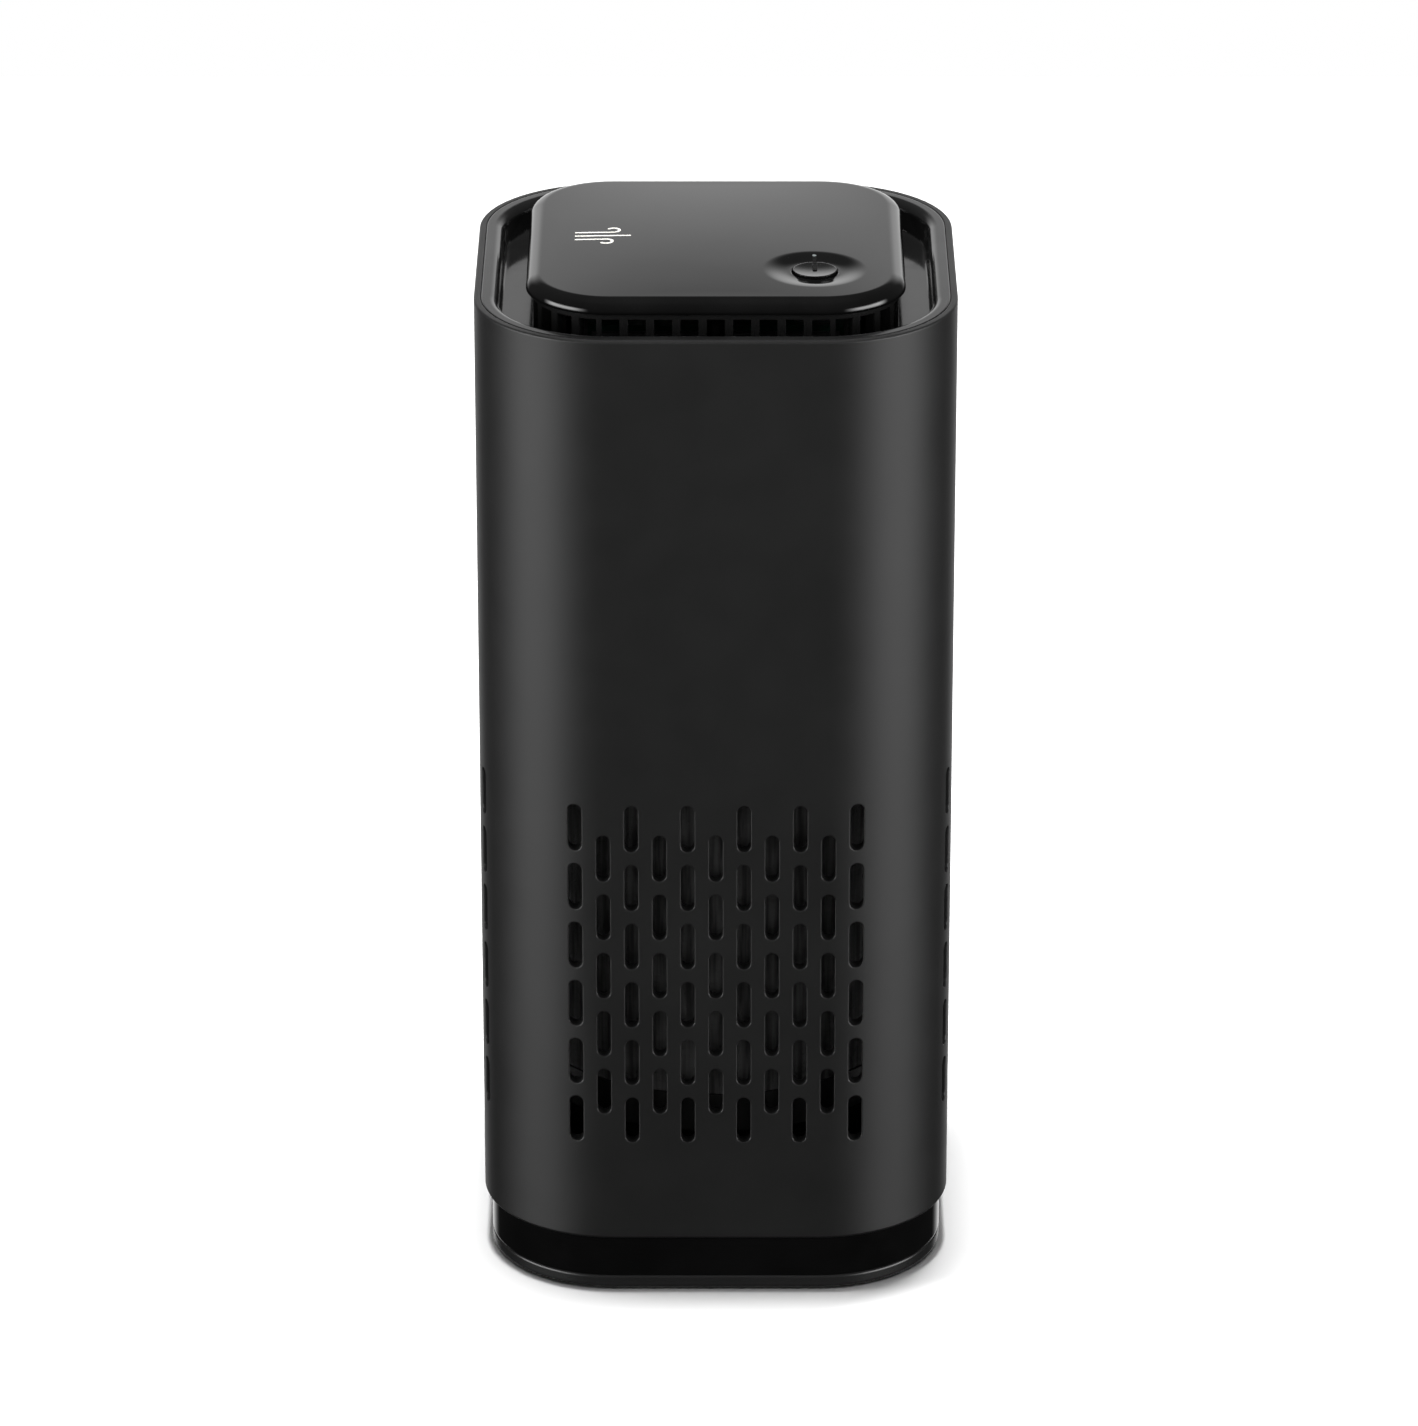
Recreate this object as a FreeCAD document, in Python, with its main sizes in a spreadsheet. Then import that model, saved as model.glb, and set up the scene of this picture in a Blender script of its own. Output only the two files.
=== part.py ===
import FreeCAD, Part
import math
import os

import Sketcher

# A small desk air purifier: a square tower with round corners that stands on four rubber feet.
# Air enters through the slots, passes a round filter, a 50 mm fan and a duct, and leaves
# through the ring of windows under the cap. The housing lifts off the base to free the filter.
# Millimetres; +Z up, the front faces -Y, and the origin is on the ground at the middle.

# Driving dimensions. Heights ("..._bottom", "..._top") are measured from the ground.
DIMENSIONS = {
    # outer form
    "half_width": 35.0,
    "corner": 19.7,
    "wall": 2.0,
    "housing_bottom": 9.0,
    "housing_top": 151.5,
    "housing_edge": 0.5,
    "rim_edge": 0.25,
    "rim_lip": 1.0,
    "rim_depth": 1.6,
    # slots
    "slot_width": 2.0,
    "slot_length": 7.3,
    "slot_pitch": 4.13,
    "slot_rise": 9.43,
    "slot_first": 28.7,
    "wide_columns": 6,
    "wide_rows": 6,
    "narrow_columns": 5,
    "narrow_rows": 5,
    # screws: shank and head radius, head height and the pilot holes
    "screw": 1.2,
    "screw_head": 2.4,
    "screw_head_height": 0.9,
    "screw_sink": 1.2,
    "sink_radius": 2.6,
    "plate_screw_length": 8.0,
    "base_screw_length": 4.5,
    "fan_screw": 1.3,
    "fan_screw_head": 2.8,
    "fan_screw_length": 24.0,
    "tray_screw": 0.9,
    "tray_screw_head": 1.8,
    "tray_screw_length": 5.6,
    "card_screw": 0.7,
    "card_screw_head": 1.3,
    "card_screw_length": 4.0,
    # base
    "foot_proud": 0.3,
    "foot_radius": 5.0,
    "foot_sink": 0.8,
    "foot_place": 21.0,
    "lip_top": 2.4,
    "lip_edge": 0.5,
    "base_half": 33.9,
    "base_top": 8.9,
    "base_wall": 1.8,
    "collar_gap": 0.35,
    "collar_wall": 1.6,
    "collar_top": 15.0,
    "seal_bottom": 11.0,
    "seal_height": 1.6,
    "seal_sink": 0.6,
    "seal_gap": 0.1,
    "base_screw_place": 27.0,
    "post_radius": 3.2,
    # filter
    "seat_radius": 24.0,
    "seat_wall": 1.6,
    "spigot_gap": 0.6,
    "spigot_rise": 7.0,
    "rib_thick": 1.4,
    "filter_bottom": 24.0,
    "filter_top": 88.0,
    "filter_radius": 29.0,
    "cap_skirt": 6.0,
    "cap_thick": 1.6,
    "cap_wall": 0.4,
    "mesh_thick": 0.3,
    "pleat_outer": 28.2,
    "pleat_inner": 19.0,
    "pleat_web": 2.4,
    "pleats": 60,
    "sleeve_outer": 18.6,
    "core_outer": 15.4,
    "core_inner": 14.0,
    "core_hole": 2.2,
    "core_hole_first": 36.0,
    "core_hole_rise": 8.6,
    "core_hole_levels": 6,
    "core_holes_round": 4,
    "gasket_width": 4.0,
    "gasket_gap": 0.1,
    # fan plate
    "plate_bottom": 90.0,
    "plate_top": 92.0,
    "plate_gap": 0.2,
    "inlet_radius": 22.0,
    "boss_place": 25.5,
    "boss_radius": 3.6,
    "boss_bottom": 76.0,
    # fan
    "fan_bottom": 93.0,
    "fan_top": 113.0,
    "fan_half": 25.0,
    "fan_corner": 3.0,
    "fan_hole_place": 20.0,
    "fan_hole": 1.7,
    "pad_radius": 3.4,
    "strut_width": 2.2,
    "fan_bore": 23.4,
    "blade_tip": 22.8,
    "blades": 7,
    "blade_thick": 0.9,
    "blade_bow": 1.2,
    "hub_outer": 11.0,
    "hub_inner": 10.0,
    "hub_bottom": 94.2,
    "hub_top": 109.8,
    "hub_floor": 1.2,
    "yoke_inner": 9.4,
    "magnet_inner": 8.2,
    "stator_radius": 7.8,
    "motor_plate_bottom": 110.4,
    "motor_plate_radius": 11.5,
    "tube_outer": 3.6,
    "tube_inner": 2.6,
    "tube_bottom": 97.5,
    "shaft_radius": 1.0,
    "shaft_play": 0.03,
    "shaft_boss": 2.4,
    "magnet_height": 10.0,
    "bearing_height": 2.5,
    "stator_hub": 4.8,
    "stator_height": 6.0,
    "shoe_thick": 0.9,
    "shoe_gap": 1.4,
    "arm_width": 1.8,
    "coil_place": 5.85,
    "coil_thick": 1.3,
    "coil_width": 4.2,
    "coil_proud": 0.6,
    "motor_card_radius": 7.6,
    "motor_card_thick": 0.8,
    "clip_radius": 1.7,
    "clip_thick": 0.4,
    "clip_mouth": 1.2,
    # duct, vent ring and trim
    "duct_half": 26.5,
    "duct_corner": 11.2,
    "duct_wall": 1.2,
    "duct_foot": 1.5,
    "duct_top": 143.0,
    "vent_top": 152.8,
    "vent_wall": 2.2,
    "window_bottom": 147.2,
    "window_top": 151.8,
    "window_width": 2.55,
    "window_pitch": 3.77,
    "trim_inner": 31.4,
    "trim_bottom": 145.5,
    "trim_floor": 1.5,
    "trim_gap": 0.05,
    "trim_roll": 1.4,
    # cap and button
    "panel_half": 27.45,
    "panel_corner": 12.1,
    "panel_top": 155.3,
    "panel_edge": 1.2,
    "button_x": 14.3,
    "button_y": -14.0,
    "button_radius": 3.15,
    "button_gap": 0.2,
    "button_top": 155.05,
    "button_bottom": 151.2,
    "button_hollow": 0.25,
    "flange_radius": 3.9,
    "dish_floor": 4.4,
    "dish_radius": 7.4,
    "dish_depth": 0.8,
    "mark_width": 0.6,
    "mark_depth": 0.3,
    "pipe_place": 4.9,
    "pipe_radius": 0.55,
    "pipe_gap": 0.2,
    "post_place": 22.0,
    "post_end": 145.2,
    "cap_post": 2.0,
    "cap_pilot_depth": 5.0,
    # electronics
    "board_half": 18.5,
    "board_bottom": 146.6,
    "board_thick": 1.5,
    "switch_side": 6.0,
    "switch_height": 2.4,
    "plunger_radius": 1.6,
    "plug_length": 6.0,
    "plug_width": 4.5,
    "plug_height": 3.0,
    "plug_inset": 3.5,
    "tray_bottom": 143.6,
    "tray_rim": 1.2,
    "tray_corner": 5.0,
    "tray_floor": 1.2,
    "tray_lip": 0.6,
    "tray_edge": 1.6,
    "arm_length": 5.4,
    "arm_across": 4.4,
    # inlet: the card with its socket; the shell is a standard USB-C receptacle
    "socket_height": 97.0,
    "socket_middle": 1.63,
    "shell_width": 8.94,
    "shell_height": 3.26,
    "shell_length": 7.3,
    "mouth_width": 8.34,
    "mouth_height": 2.66,
    "mouth_depth": 6.2,
    "tongue_width": 6.7,
    "tongue_length": 5.6,
    "tongue_thick": 0.7,
    "inlet_width": 9.4,
    "inlet_height": 3.6,
    "card_thick": 1.0,
    "card_post": 1.5,
    "card_post_x": 6.5,
    "card_post_y": 29.0,
    "lead_radius": 0.8,
    "lead_x": 10.0,
    "lead_y": 30.0,
    "lead_turn": 138.0,
    "lead_in": 22.4,
    "fan_lead_y": 8.0,
}

doc = FreeCAD.newDocument("air_purifier")
sheet = doc.addObject("Spreadsheet::Sheet", "dims")
sub_parts = []


# ---------------------------------------------------------------- helpers

def fill_sheet():
    """Writes every driving dimension to the sheet as a plain number with an alias."""
    for row, (alias, value) in enumerate(DIMENSIONS.items(), start=1):
        sheet.set(f"A{row}", alias)
        sheet.set(f"B{row}", str(value))
        sheet.setAlias(f"B{row}", alias)
    doc.recompute()


def formula(text):
    """Turns a formula of aliases into an expression that the document understands."""
    words = []
    for word in str(text).replace("(", "( ").replace(")", " )").split():
        words.append(f"dims.{word}" if word in DIMENSIONS else word)
    return " ".join(words)


def value(text):
    """The number that a formula of aliases stands for."""
    return float(sheet.evalExpression(formula(text)))


def bind(item, **formulas):
    """Binds properties to formulas; a double underscore stands for a dot."""
    for name, text in formulas.items():
        item.setExpression(name.replace("__", "."), formula(text))


def keep(item, label):
    """Marks an object as a finished sub-part."""
    item.Label = label
    sub_parts.append(item)
    return item


def new_body(name, bottom="0"):
    """A PartDesign body whose own zero height is at the given height above the ground."""
    body = doc.addObject("PartDesign::Body", name + "_body")
    bind(body, Placement__Base__z=bottom)
    return body


def sketch_on(body, name, plane="XY_Plane", offset="0"):
    """A sketch on one of the body's origin planes, moved along the plane's normal."""
    sketch = body.newObject("Sketcher::SketchObject", name)
    face = next(part for part in body.Origin.OriginFeatures if part.Role == plane)
    sketch.AttachmentSupport = [(face, "")]
    sketch.MapMode = "FlatFace"
    bind(sketch, AttachmentOffset__Base__z=offset)
    return sketch


def dimension(sketch, kind, places, name, text):
    """Adds a named driving constraint to a sketch and binds it to a formula."""
    index = sketch.addConstraint(Sketcher.Constraint(kind, *places, value(text)))
    sketch.renameConstraint(index, name)
    bind(sketch, **{"Constraints__" + name: text})


def add_rounded_square(sketch, name, half, corner):
    """A square with round corners, centred on the sketch's origin."""
    radius = value(corner)
    reach = value(f"( {half} ) - ( {corner} )")
    up = FreeCAD.Vector(0, 0, 1)
    arcs = []
    for quarter in range(4):
        start = quarter * math.pi / 2
        diagonal = start + math.pi / 4
        centre = FreeCAD.Vector(math.cos(diagonal), math.sin(diagonal), 0) * reach * math.sqrt(2)
        circle = Part.Circle(centre, up, radius)
        arcs.append(sketch.addGeometry(Part.ArcOfCircle(circle, start, start + math.pi / 2)))
    for quarter, arc in enumerate(arcs):
        following = arcs[(quarter + 1) % 4]
        start = sketch.getPoint(arc, 2)
        end = sketch.getPoint(following, 1)
        line = sketch.addGeometry(Part.LineSegment(start, end))
        sketch.addConstraint(Sketcher.Constraint("Tangent", arc, 2, line, 1))
        sketch.addConstraint(Sketcher.Constraint("Tangent", line, 2, following, 1))
    for arc, following in zip(arcs, arcs[1:]):
        sketch.addConstraint(Sketcher.Constraint("Equal", arc, following))
    sketch.addConstraint(Sketcher.Constraint("Symmetric", arcs[0], 3, arcs[2], 3, -1, 1))
    sketch.addConstraint(Sketcher.Constraint("Symmetric", arcs[1], 3, arcs[3], 3, -1, 1))
    sketch.addConstraint(Sketcher.Constraint("Horizontal", arcs[0], 3, arcs[1], 3))
    sketch.addConstraint(Sketcher.Constraint("Vertical", arcs[1], 3, arcs[2], 3))
    dimension(sketch, "Radius", (arcs[0],), name + "_corner", corner)
    dimension(sketch, "DistanceX", (-1, 1, arcs[0], 3), name + "_x", f"( {half} ) - ( {corner} )")
    dimension(sketch, "DistanceY", (-1, 1, arcs[0], 3), name + "_y", f"( {half} ) - ( {corner} )")


def add_circle(sketch, name, radius, x="0", y="0"):
    """A circle with its centre at x, y."""
    place = FreeCAD.Vector(value(x), value(y), 0)
    circle = sketch.addGeometry(Part.Circle(place, FreeCAD.Vector(0, 0, 1), value(radius)))
    dimension(sketch, "Radius", (circle,), name + "_radius", radius)
    for axis, kind, text in (("x", "DistanceX", x), ("y", "DistanceY", y)):
        if value(text) == 0:
            line = -2 if axis == "x" else -1
            sketch.addConstraint(Sketcher.Constraint("PointOnObject", circle, 3, line))
        else:
            dimension(sketch, kind, (-1, 1, circle, 3), name + "_" + axis, text)


def add_slot(sketch, name, width, length, x, y, upright=True):
    """A long hole with round ends; x, y is its middle."""
    radius = value(width) / 2
    run = value(length) / 2 - radius
    middle = FreeCAD.Vector(value(x), value(y), 0)
    along = FreeCAD.Vector(0, 1, 0) if upright else FreeCAD.Vector(1, 0, 0)
    turn = 0 if upright else -math.pi / 2
    up = FreeCAD.Vector(0, 0, 1)
    far = Part.ArcOfCircle(Part.Circle(middle + along * run, up, radius), turn, turn + math.pi)
    near = Part.ArcOfCircle(
        Part.Circle(middle - along * run, up, radius), turn + math.pi, turn + 2 * math.pi)
    far = sketch.addGeometry(far)
    near = sketch.addGeometry(near)
    for start, end in ((far, near), (near, far)):
        line = Part.LineSegment(sketch.getPoint(start, 2), sketch.getPoint(end, 1))
        line = sketch.addGeometry(line)
        sketch.addConstraint(Sketcher.Constraint("Tangent", start, 2, line, 1))
        sketch.addConstraint(Sketcher.Constraint("Tangent", line, 2, end, 1))
    level = "Vertical" if upright else "Horizontal"
    sketch.addConstraint(Sketcher.Constraint(level, far, 3, near, 3))
    dimension(sketch, "Radius", (far,), name + "_radius", f"( {width} ) / 2")
    kinds = ("DistanceX", "DistanceY") if upright else ("DistanceY", "DistanceX")
    side, rise = (x, y) if upright else (y, x)
    near_end = f"( {rise} ) - ( ( {length} ) - ( {width} ) ) / 2"
    span = f"( {length} ) - ( {width} )"
    if value(side) == 0:
        axis = -2 if upright else -1
        sketch.addConstraint(Sketcher.Constraint("PointOnObject", near, 3, axis))
    else:
        dimension(sketch, kinds[0], (-1, 1, near, 3), name + "_side", side)
    dimension(sketch, kinds[1], (-1, 1, near, 3), name + "_near", near_end)
    dimension(sketch, kinds[1], (near, 3, far, 3), name + "_span", span)


def pad(body, sketch, height, downward=False):
    """Pads a sketch by a height."""
    feature = body.newObject("PartDesign::Pad", sketch.Name + "_pad")
    feature.Profile = sketch
    feature.Reversed = downward
    bind(feature, Length=height)
    sketch.Visibility = False
    return feature


def pocket(body, sketch, depth, reverse=False):
    """Cuts a sketch to a depth against its normal, or along it."""
    feature = body.newObject("PartDesign::Pocket", sketch.Name + "_pocket")
    feature.Profile = sketch
    feature.Reversed = reverse
    bind(feature, Length=depth)
    return feature


def pocket_through(body, sketch):
    """Cuts a sketch right through the body, both ways."""
    feature = body.newObject("PartDesign::Pocket", sketch.Name + "_pocket")
    feature.Profile = sketch
    feature.Type = "ThroughAll"
    feature.Midplane = True
    return feature


def four_times(body, feature):
    """Repeats a feature on the four sides."""
    pattern = body.newObject("PartDesign::PolarPattern", feature.Name + "_four")
    axis = next(part for part in body.Origin.OriginFeatures if part.Role == "Z_Axis")
    pattern.Originals = [feature]
    pattern.Axis = (axis, [""])
    pattern.Angle = 360
    pattern.Occurrences = 4
    body.Tip = pattern
    return pattern


def grid(body, feature, sketch, columns, across, rows, rise):
    """Repeats a feature across and up."""
    multi = body.newObject("PartDesign::MultiTransform", feature.Name + "_grid")
    multi.Originals = [feature]
    steps = []
    for axis, count, spacing in (("H_Axis", columns, across), ("V_Axis", rows, rise)):
        row = body.newObject("PartDesign::LinearPattern", feature.Name + axis)
        row.Direction = (sketch, [axis])
        bind(row, Length=f"( ( {count} ) - 1 ) * ( {spacing} )", Occurrences=count)
        steps.append(row)
    multi.Transformations = steps
    body.Tip = multi
    return multi


def round_edges(body, feature, radius, wanted):
    """Rounds the edges of a feature that the test picks."""
    doc.recompute()
    names = []
    for index, edge in enumerate(feature.Shape.Edges, start=1):
        if wanted(edge):
            names.append(f"Edge{index}")
    fillet = body.newObject("PartDesign::Fillet", feature.Name + "_round")
    fillet.Base = (feature, names)
    bind(fillet, Radius=radius)
    return fillet


def at_height(height, least_reach=0.0, most_reach=1000.0):
    """A test for level edges at a height, within a band of distance from the middle."""
    def test(edge):
        box = edge.BoundBox
        reach = max(abs(box.XMin), abs(box.XMax), abs(box.YMin), abs(box.YMax))
        level = abs(box.ZMin - height) < 1e-4 and abs(box.ZMax - height) < 1e-4
        return level and least_reach <= reach <= most_reach
    return test


def cylinder(name, radius, height, x="0", y="0", z="0"):
    """An upright cylinder standing on z."""
    item = doc.addObject("Part::Cylinder", name)
    bind(item, Radius=radius, Height=height)
    bind(item, Placement__Base__x=x, Placement__Base__y=y, Placement__Base__z=z)
    return item


def block(name, length, width, height, x="0", y="0", z="0"):
    """A box centred on x, y and standing on z."""
    item = doc.addObject("Part::Box", name)
    bind(item, Length=length, Width=width, Height=height)
    bind(item, Placement__Base__x=f"( {x} ) - ( {length} ) / 2")
    bind(item, Placement__Base__y=f"( {y} ) - ( {width} ) / 2")
    bind(item, Placement__Base__z=z)
    return item


def turned(item, degrees, x="0", y="0", z="0"):
    """Turns a finished object about the vertical axis through the origin."""
    wrapped = doc.addObject("Part::Compound", item.Name + "_turned")
    wrapped.Links = [item]
    wrapped.Placement = FreeCAD.Placement(
        FreeCAD.Vector(value(x), value(y), value(z)), FreeCAD.Rotation(FreeCAD.Vector(0, 0, 1), degrees))
    return wrapped


def cut(name, base, *tools):
    """The base with every tool taken away."""
    if len(tools) > 1:
        tool = fuse(name + "_tools", *tools)
    else:
        tool = tools[0]
    item = doc.addObject("Part::Cut", name)
    item.Base = base
    item.Tool = tool
    return item


def fuse(name, *shapes):
    """Several shapes joined."""
    item = doc.addObject("Part::MultiFuse", name)
    item.Shapes = list(shapes)
    return item


def group(name, items):
    """Separate solids that share a node."""
    item = doc.addObject("Part::Compound", name)
    item.Links = items
    return item


def ring(name, outer, inner, height, z="0", x="0", y="0"):
    """An upright round tube."""
    outside = cylinder(name + "_outside", outer, height, x, y, z)
    inside = cylinder(name + "_inside", inner, f"( {height} ) + 2", x, y, f"( {z} ) - 1")
    return cut(name, outside, inside)


def solid_feature(name, shape):
    """A shape made with Part's own functions."""
    item = doc.addObject("Part::Feature", name)
    item.Shape = shape
    return item


def four_places(reach, diagonal=True):
    """Four places about the middle, on the corners or on the sides, as pairs of formulas."""
    if diagonal:
        return [(f"{sx} * ( {reach} )", f"{sy} * ( {reach} )") for sx in (1, -1) for sy in (1, -1)]
    return [(reach, "0"), (f"-1 * ( {reach} )", "0"), ("0", reach), ("0", f"-1 * ( {reach} )")]


def screws(label, places, head, head_height, shank, length, z, upward):
    """Pan-head screws with a cross recess; z is the seat of the head, upward the shank's way."""
    made = []
    for number, (x, y) in enumerate(places):
        name = f"{label}_{number}"
        head_z = f"( {z} ) - ( {head_height} )" if upward else z
        shank_z = z if upward else f"( {z} ) - ( {length} )"
        cap = cylinder(name + "_head", head, head_height, x, y, head_z)
        rod = cylinder(name + "_shank", shank, length, x, y, shank_z)
        body = fuse(name + "_whole", cap, rod)
        sink = f"( {head_height} ) / 2"
        cross_z = head_z if upward else f"( {z} ) + ( {head_height} ) / 2"
        arms = [
            block(name + "_arm_x", f"( {head} ) * 1.2", f"( {head} ) * 0.28", sink, x, y, cross_z),
            block(name + "_arm_y", f"( {head} ) * 0.28", f"( {head} ) * 1.2", sink, x, y, cross_z),
        ]
        made.append(cut(name + "_screw", body, *arms))
    return keep(group(label + "_group", made), label)


# ---------------------------------------------------------------- housing and top

def slot_field(body, plane, name):
    """The slots of two opposite sides: six wide-set columns, and five between them."""
    first = "slot_first - housing_bottom"
    wide = sketch_on(body, name + "_wide", plane)
    add_slot(wide, "slot", "slot_width", "slot_length", "-5 * slot_pitch", first)
    wide_cut = pocket_through(body, wide)
    grid(body, wide_cut, wide, "wide_columns", "2 * slot_pitch", "wide_rows", "slot_rise")
    narrow = sketch_on(body, name + "_narrow", plane)
    add_slot(narrow, "slot", "slot_width", "slot_length", "-4 * slot_pitch", f"{first} + slot_rise / 2")
    narrow_cut = pocket_through(body, narrow)
    return grid(body, narrow_cut, narrow, "narrow_columns", "2 * slot_pitch", "narrow_rows", "slot_rise")


def make_housing():
    """The outer shell: an upright sleeve with slots, a rebate for the trim and four bosses."""
    body = new_body("housing", "housing_bottom")
    section = sketch_on(body, "housing_section")
    add_rounded_square(section, "outer", "half_width", "corner")
    add_rounded_square(section, "inner", "half_width - wall", "corner - wall")
    sleeve = pad(body, section, "housing_top - housing_bottom")
    height = value("housing_top - housing_bottom")
    foot = round_edges(body, sleeve, "housing_edge", at_height(0, value("half_width - 0.01")))
    rim = round_edges(body, foot, "rim_edge", at_height(height, value("half_width - 0.01")))
    rebate = sketch_on(body, "housing_rebate", offset="housing_top - housing_bottom")
    add_rounded_square(rebate, "rebate", "half_width - rim_lip", "corner - rim_lip")
    pocket(body, rebate, "rim_depth")
    boss = sketch_on(body, "housing_boss", offset="plate_bottom - housing_bottom")
    add_circle(boss, "boss", "boss_radius", "boss_place", "boss_place")
    four_times(body, pad(body, boss, "plate_bottom - boss_bottom", downward=True))
    pilot = sketch_on(body, "housing_pilot", offset="plate_bottom - housing_bottom")
    add_circle(pilot, "pilot", "screw", "boss_place", "boss_place")
    four_times(body, pocket(body, pilot, "plate_screw_length"))
    slot_field(body, "XZ_Plane", "front_slots")
    slot_field(body, "YZ_Plane", "side_slots")
    inlet = sketch_on(body, "inlet_hole", "XZ_Plane")
    inlet_rise = "socket_height + socket_middle - housing_bottom"
    add_slot(inlet, "inlet", "inlet_height", "inlet_width", "0", inlet_rise, upright=False)
    pocket(body, inlet, "half_width + 1")
    return keep(body, "housing")


def make_trim_ring():
    """The gloss ring in the housing's rebate, with the wall and floor of the air channel."""
    body = new_body("trim", "trim_bottom")
    outer = "half_width - wall - trim_gap"
    outer_corner = "corner - wall - trim_gap"
    inner_corner = "corner - half_width + trim_inner"
    height = "housing_top - trim_bottom"
    skirt = sketch_on(body, "trim_skirt")
    add_rounded_square(skirt, "outer", outer, outer_corner)
    add_rounded_square(skirt, "inner", "trim_inner", inner_corner)
    pad(body, skirt, height)
    flange = sketch_on(body, "trim_flange", offset=f"{height} - rim_depth")
    add_rounded_square(flange, "outer", "half_width - rim_lip - trim_gap", "corner - rim_lip - trim_gap")
    add_rounded_square(flange, "inner", "trim_inner", inner_corner)
    pad(body, flange, "rim_depth")
    floor = sketch_on(body, "trim_floor")
    add_rounded_square(floor, "outer", outer, outer_corner)
    add_rounded_square(floor, "inner", "duct_half", "duct_corner")
    top = pad(body, floor, "trim_floor")
    inside = at_height(value(height), 0, value("trim_inner + 0.01"))
    round_edges(body, top, "trim_roll", inside)
    return keep(body, "trim_ring")


def window_cutters():
    """Blocks for the windows, spaced evenly along the vent ring's sides and round its corners."""
    width = value("window_width")
    low = value("window_bottom")
    height = value("window_top - window_bottom")
    pitch = value("window_pitch")
    reach = value("duct_half")
    radius = value("duct_corner")
    deep = 6.0
    up = FreeCAD.Vector(0, 0, 1)
    origin = FreeCAD.Vector()
    cutters = []
    for side in range(4):
        for step in range(-4, 5):
            corner = FreeCAD.Vector(step * pitch - width / 2, reach - deep / 2, low)
            window = Part.makeBox(width, deep, height, corner)
            window.rotate(origin, up, 90 * side)
            cutters.append(window)
        turn = math.degrees(pitch / radius)
        centre = FreeCAD.Vector(reach - radius, reach - radius, 0)
        for step in (-1.5, -0.5, 0.5, 1.5):
            corner = FreeCAD.Vector(centre.x + radius - deep / 2, centre.y - width / 2, low)
            window = Part.makeBox(deep, width, height, corner)
            window.rotate(centre, up, 45 + step * turn)
            window.rotate(origin, up, 90 * side)
            cutters.append(window)
    return solid_feature("window_cutters", Part.makeCompound(cutters))


def make_vent_ring():
    """The ring of upright fins that the cap stands on."""
    body = new_body("vent", "duct_top")
    section = sketch_on(body, "vent_section")
    add_rounded_square(section, "outer", "duct_half", "duct_corner")
    add_rounded_square(section, "inner", "duct_half - vent_wall", "duct_corner - vent_wall")
    pad(body, section, "vent_top - duct_top")
    return keep(cut("vent_cut", body, window_cutters()), "vent_ring")


def make_top_panel():
    """The gloss cap: its dish, the holes for button and light pipe, and posts for the tray."""
    body = new_body("panel", "vent_top")
    section = sketch_on(body, "panel_section")
    add_rounded_square(section, "outer", "panel_half", "panel_corner")
    plate = pad(body, section, "panel_top - vent_top")
    height = value("panel_top - vent_top")
    round_edges(body, plate, "panel_edge", at_height(height))
    posts = sketch_on(body, "panel_posts")
    add_circle(posts, "post", "cap_post", "post_place")
    four_times(body, pad(body, posts, "vent_top - post_end", downward=True))
    pilots = sketch_on(body, "panel_pilots", offset="post_end - vent_top")
    add_circle(pilots, "pilot", "tray_screw", "post_place")
    four_times(body, pocket(body, pilots, "cap_pilot_depth", reverse=True))
    across = ("button_x", "button_y")
    through = ("2 * ( panel_top - vent_top )", "vent_top - 1")
    hole = cylinder("button_hole", "button_radius + button_gap", through[0], *across, through[1])
    pipe_hole = cylinder("pipe_hole", "pipe_radius + pipe_gap", through[0], "button_x",
                         "button_y + pipe_place", through[1])
    mark = block("panel_mark", "mark_width", "pipe_place", "2", "button_x",
                 "button_y + pipe_place / 2", "panel_top - dish_depth - mark_depth")
    return keep(cut("panel_cut", body, dish_cutter(), hole, pipe_hole, mark), "top_panel")


def dish_cutter():
    """The space of the dish: a flat floor that rises to the cap's face in a smooth curve."""
    depth = value("dish_depth")
    floor = value("dish_floor")
    rim = value("dish_radius")
    half_way = (floor + rim) / 2
    above = 0.05
    start = FreeCAD.Vector(floor, 0, -depth)
    end = FreeCAD.Vector(rim, 0, above)
    rise = Part.BezierCurve()
    rise.setPoles([start, FreeCAD.Vector(half_way, 0, -depth), FreeCAD.Vector(half_way, 0, 0), end])
    top = FreeCAD.Vector(rim, 0, 2)
    axis_top = FreeCAD.Vector(0, 0, 2)
    axis_bottom = FreeCAD.Vector(0, 0, -depth)
    edges = [
        Part.LineSegment(axis_bottom, start).toShape(),
        rise.toShape(),
        Part.LineSegment(end, top).toShape(),
        Part.LineSegment(top, axis_top).toShape(),
        Part.LineSegment(axis_top, axis_bottom).toShape(),
    ]
    dish = Part.Face(Part.Wire(edges)).revolve(FreeCAD.Vector(), FreeCAD.Vector(0, 0, 1), 360)
    item = solid_feature("dish_cutter", dish)
    item.Placement.Base = FreeCAD.Vector(value("button_x"), value("button_y"), value("panel_top"))
    return item


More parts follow.
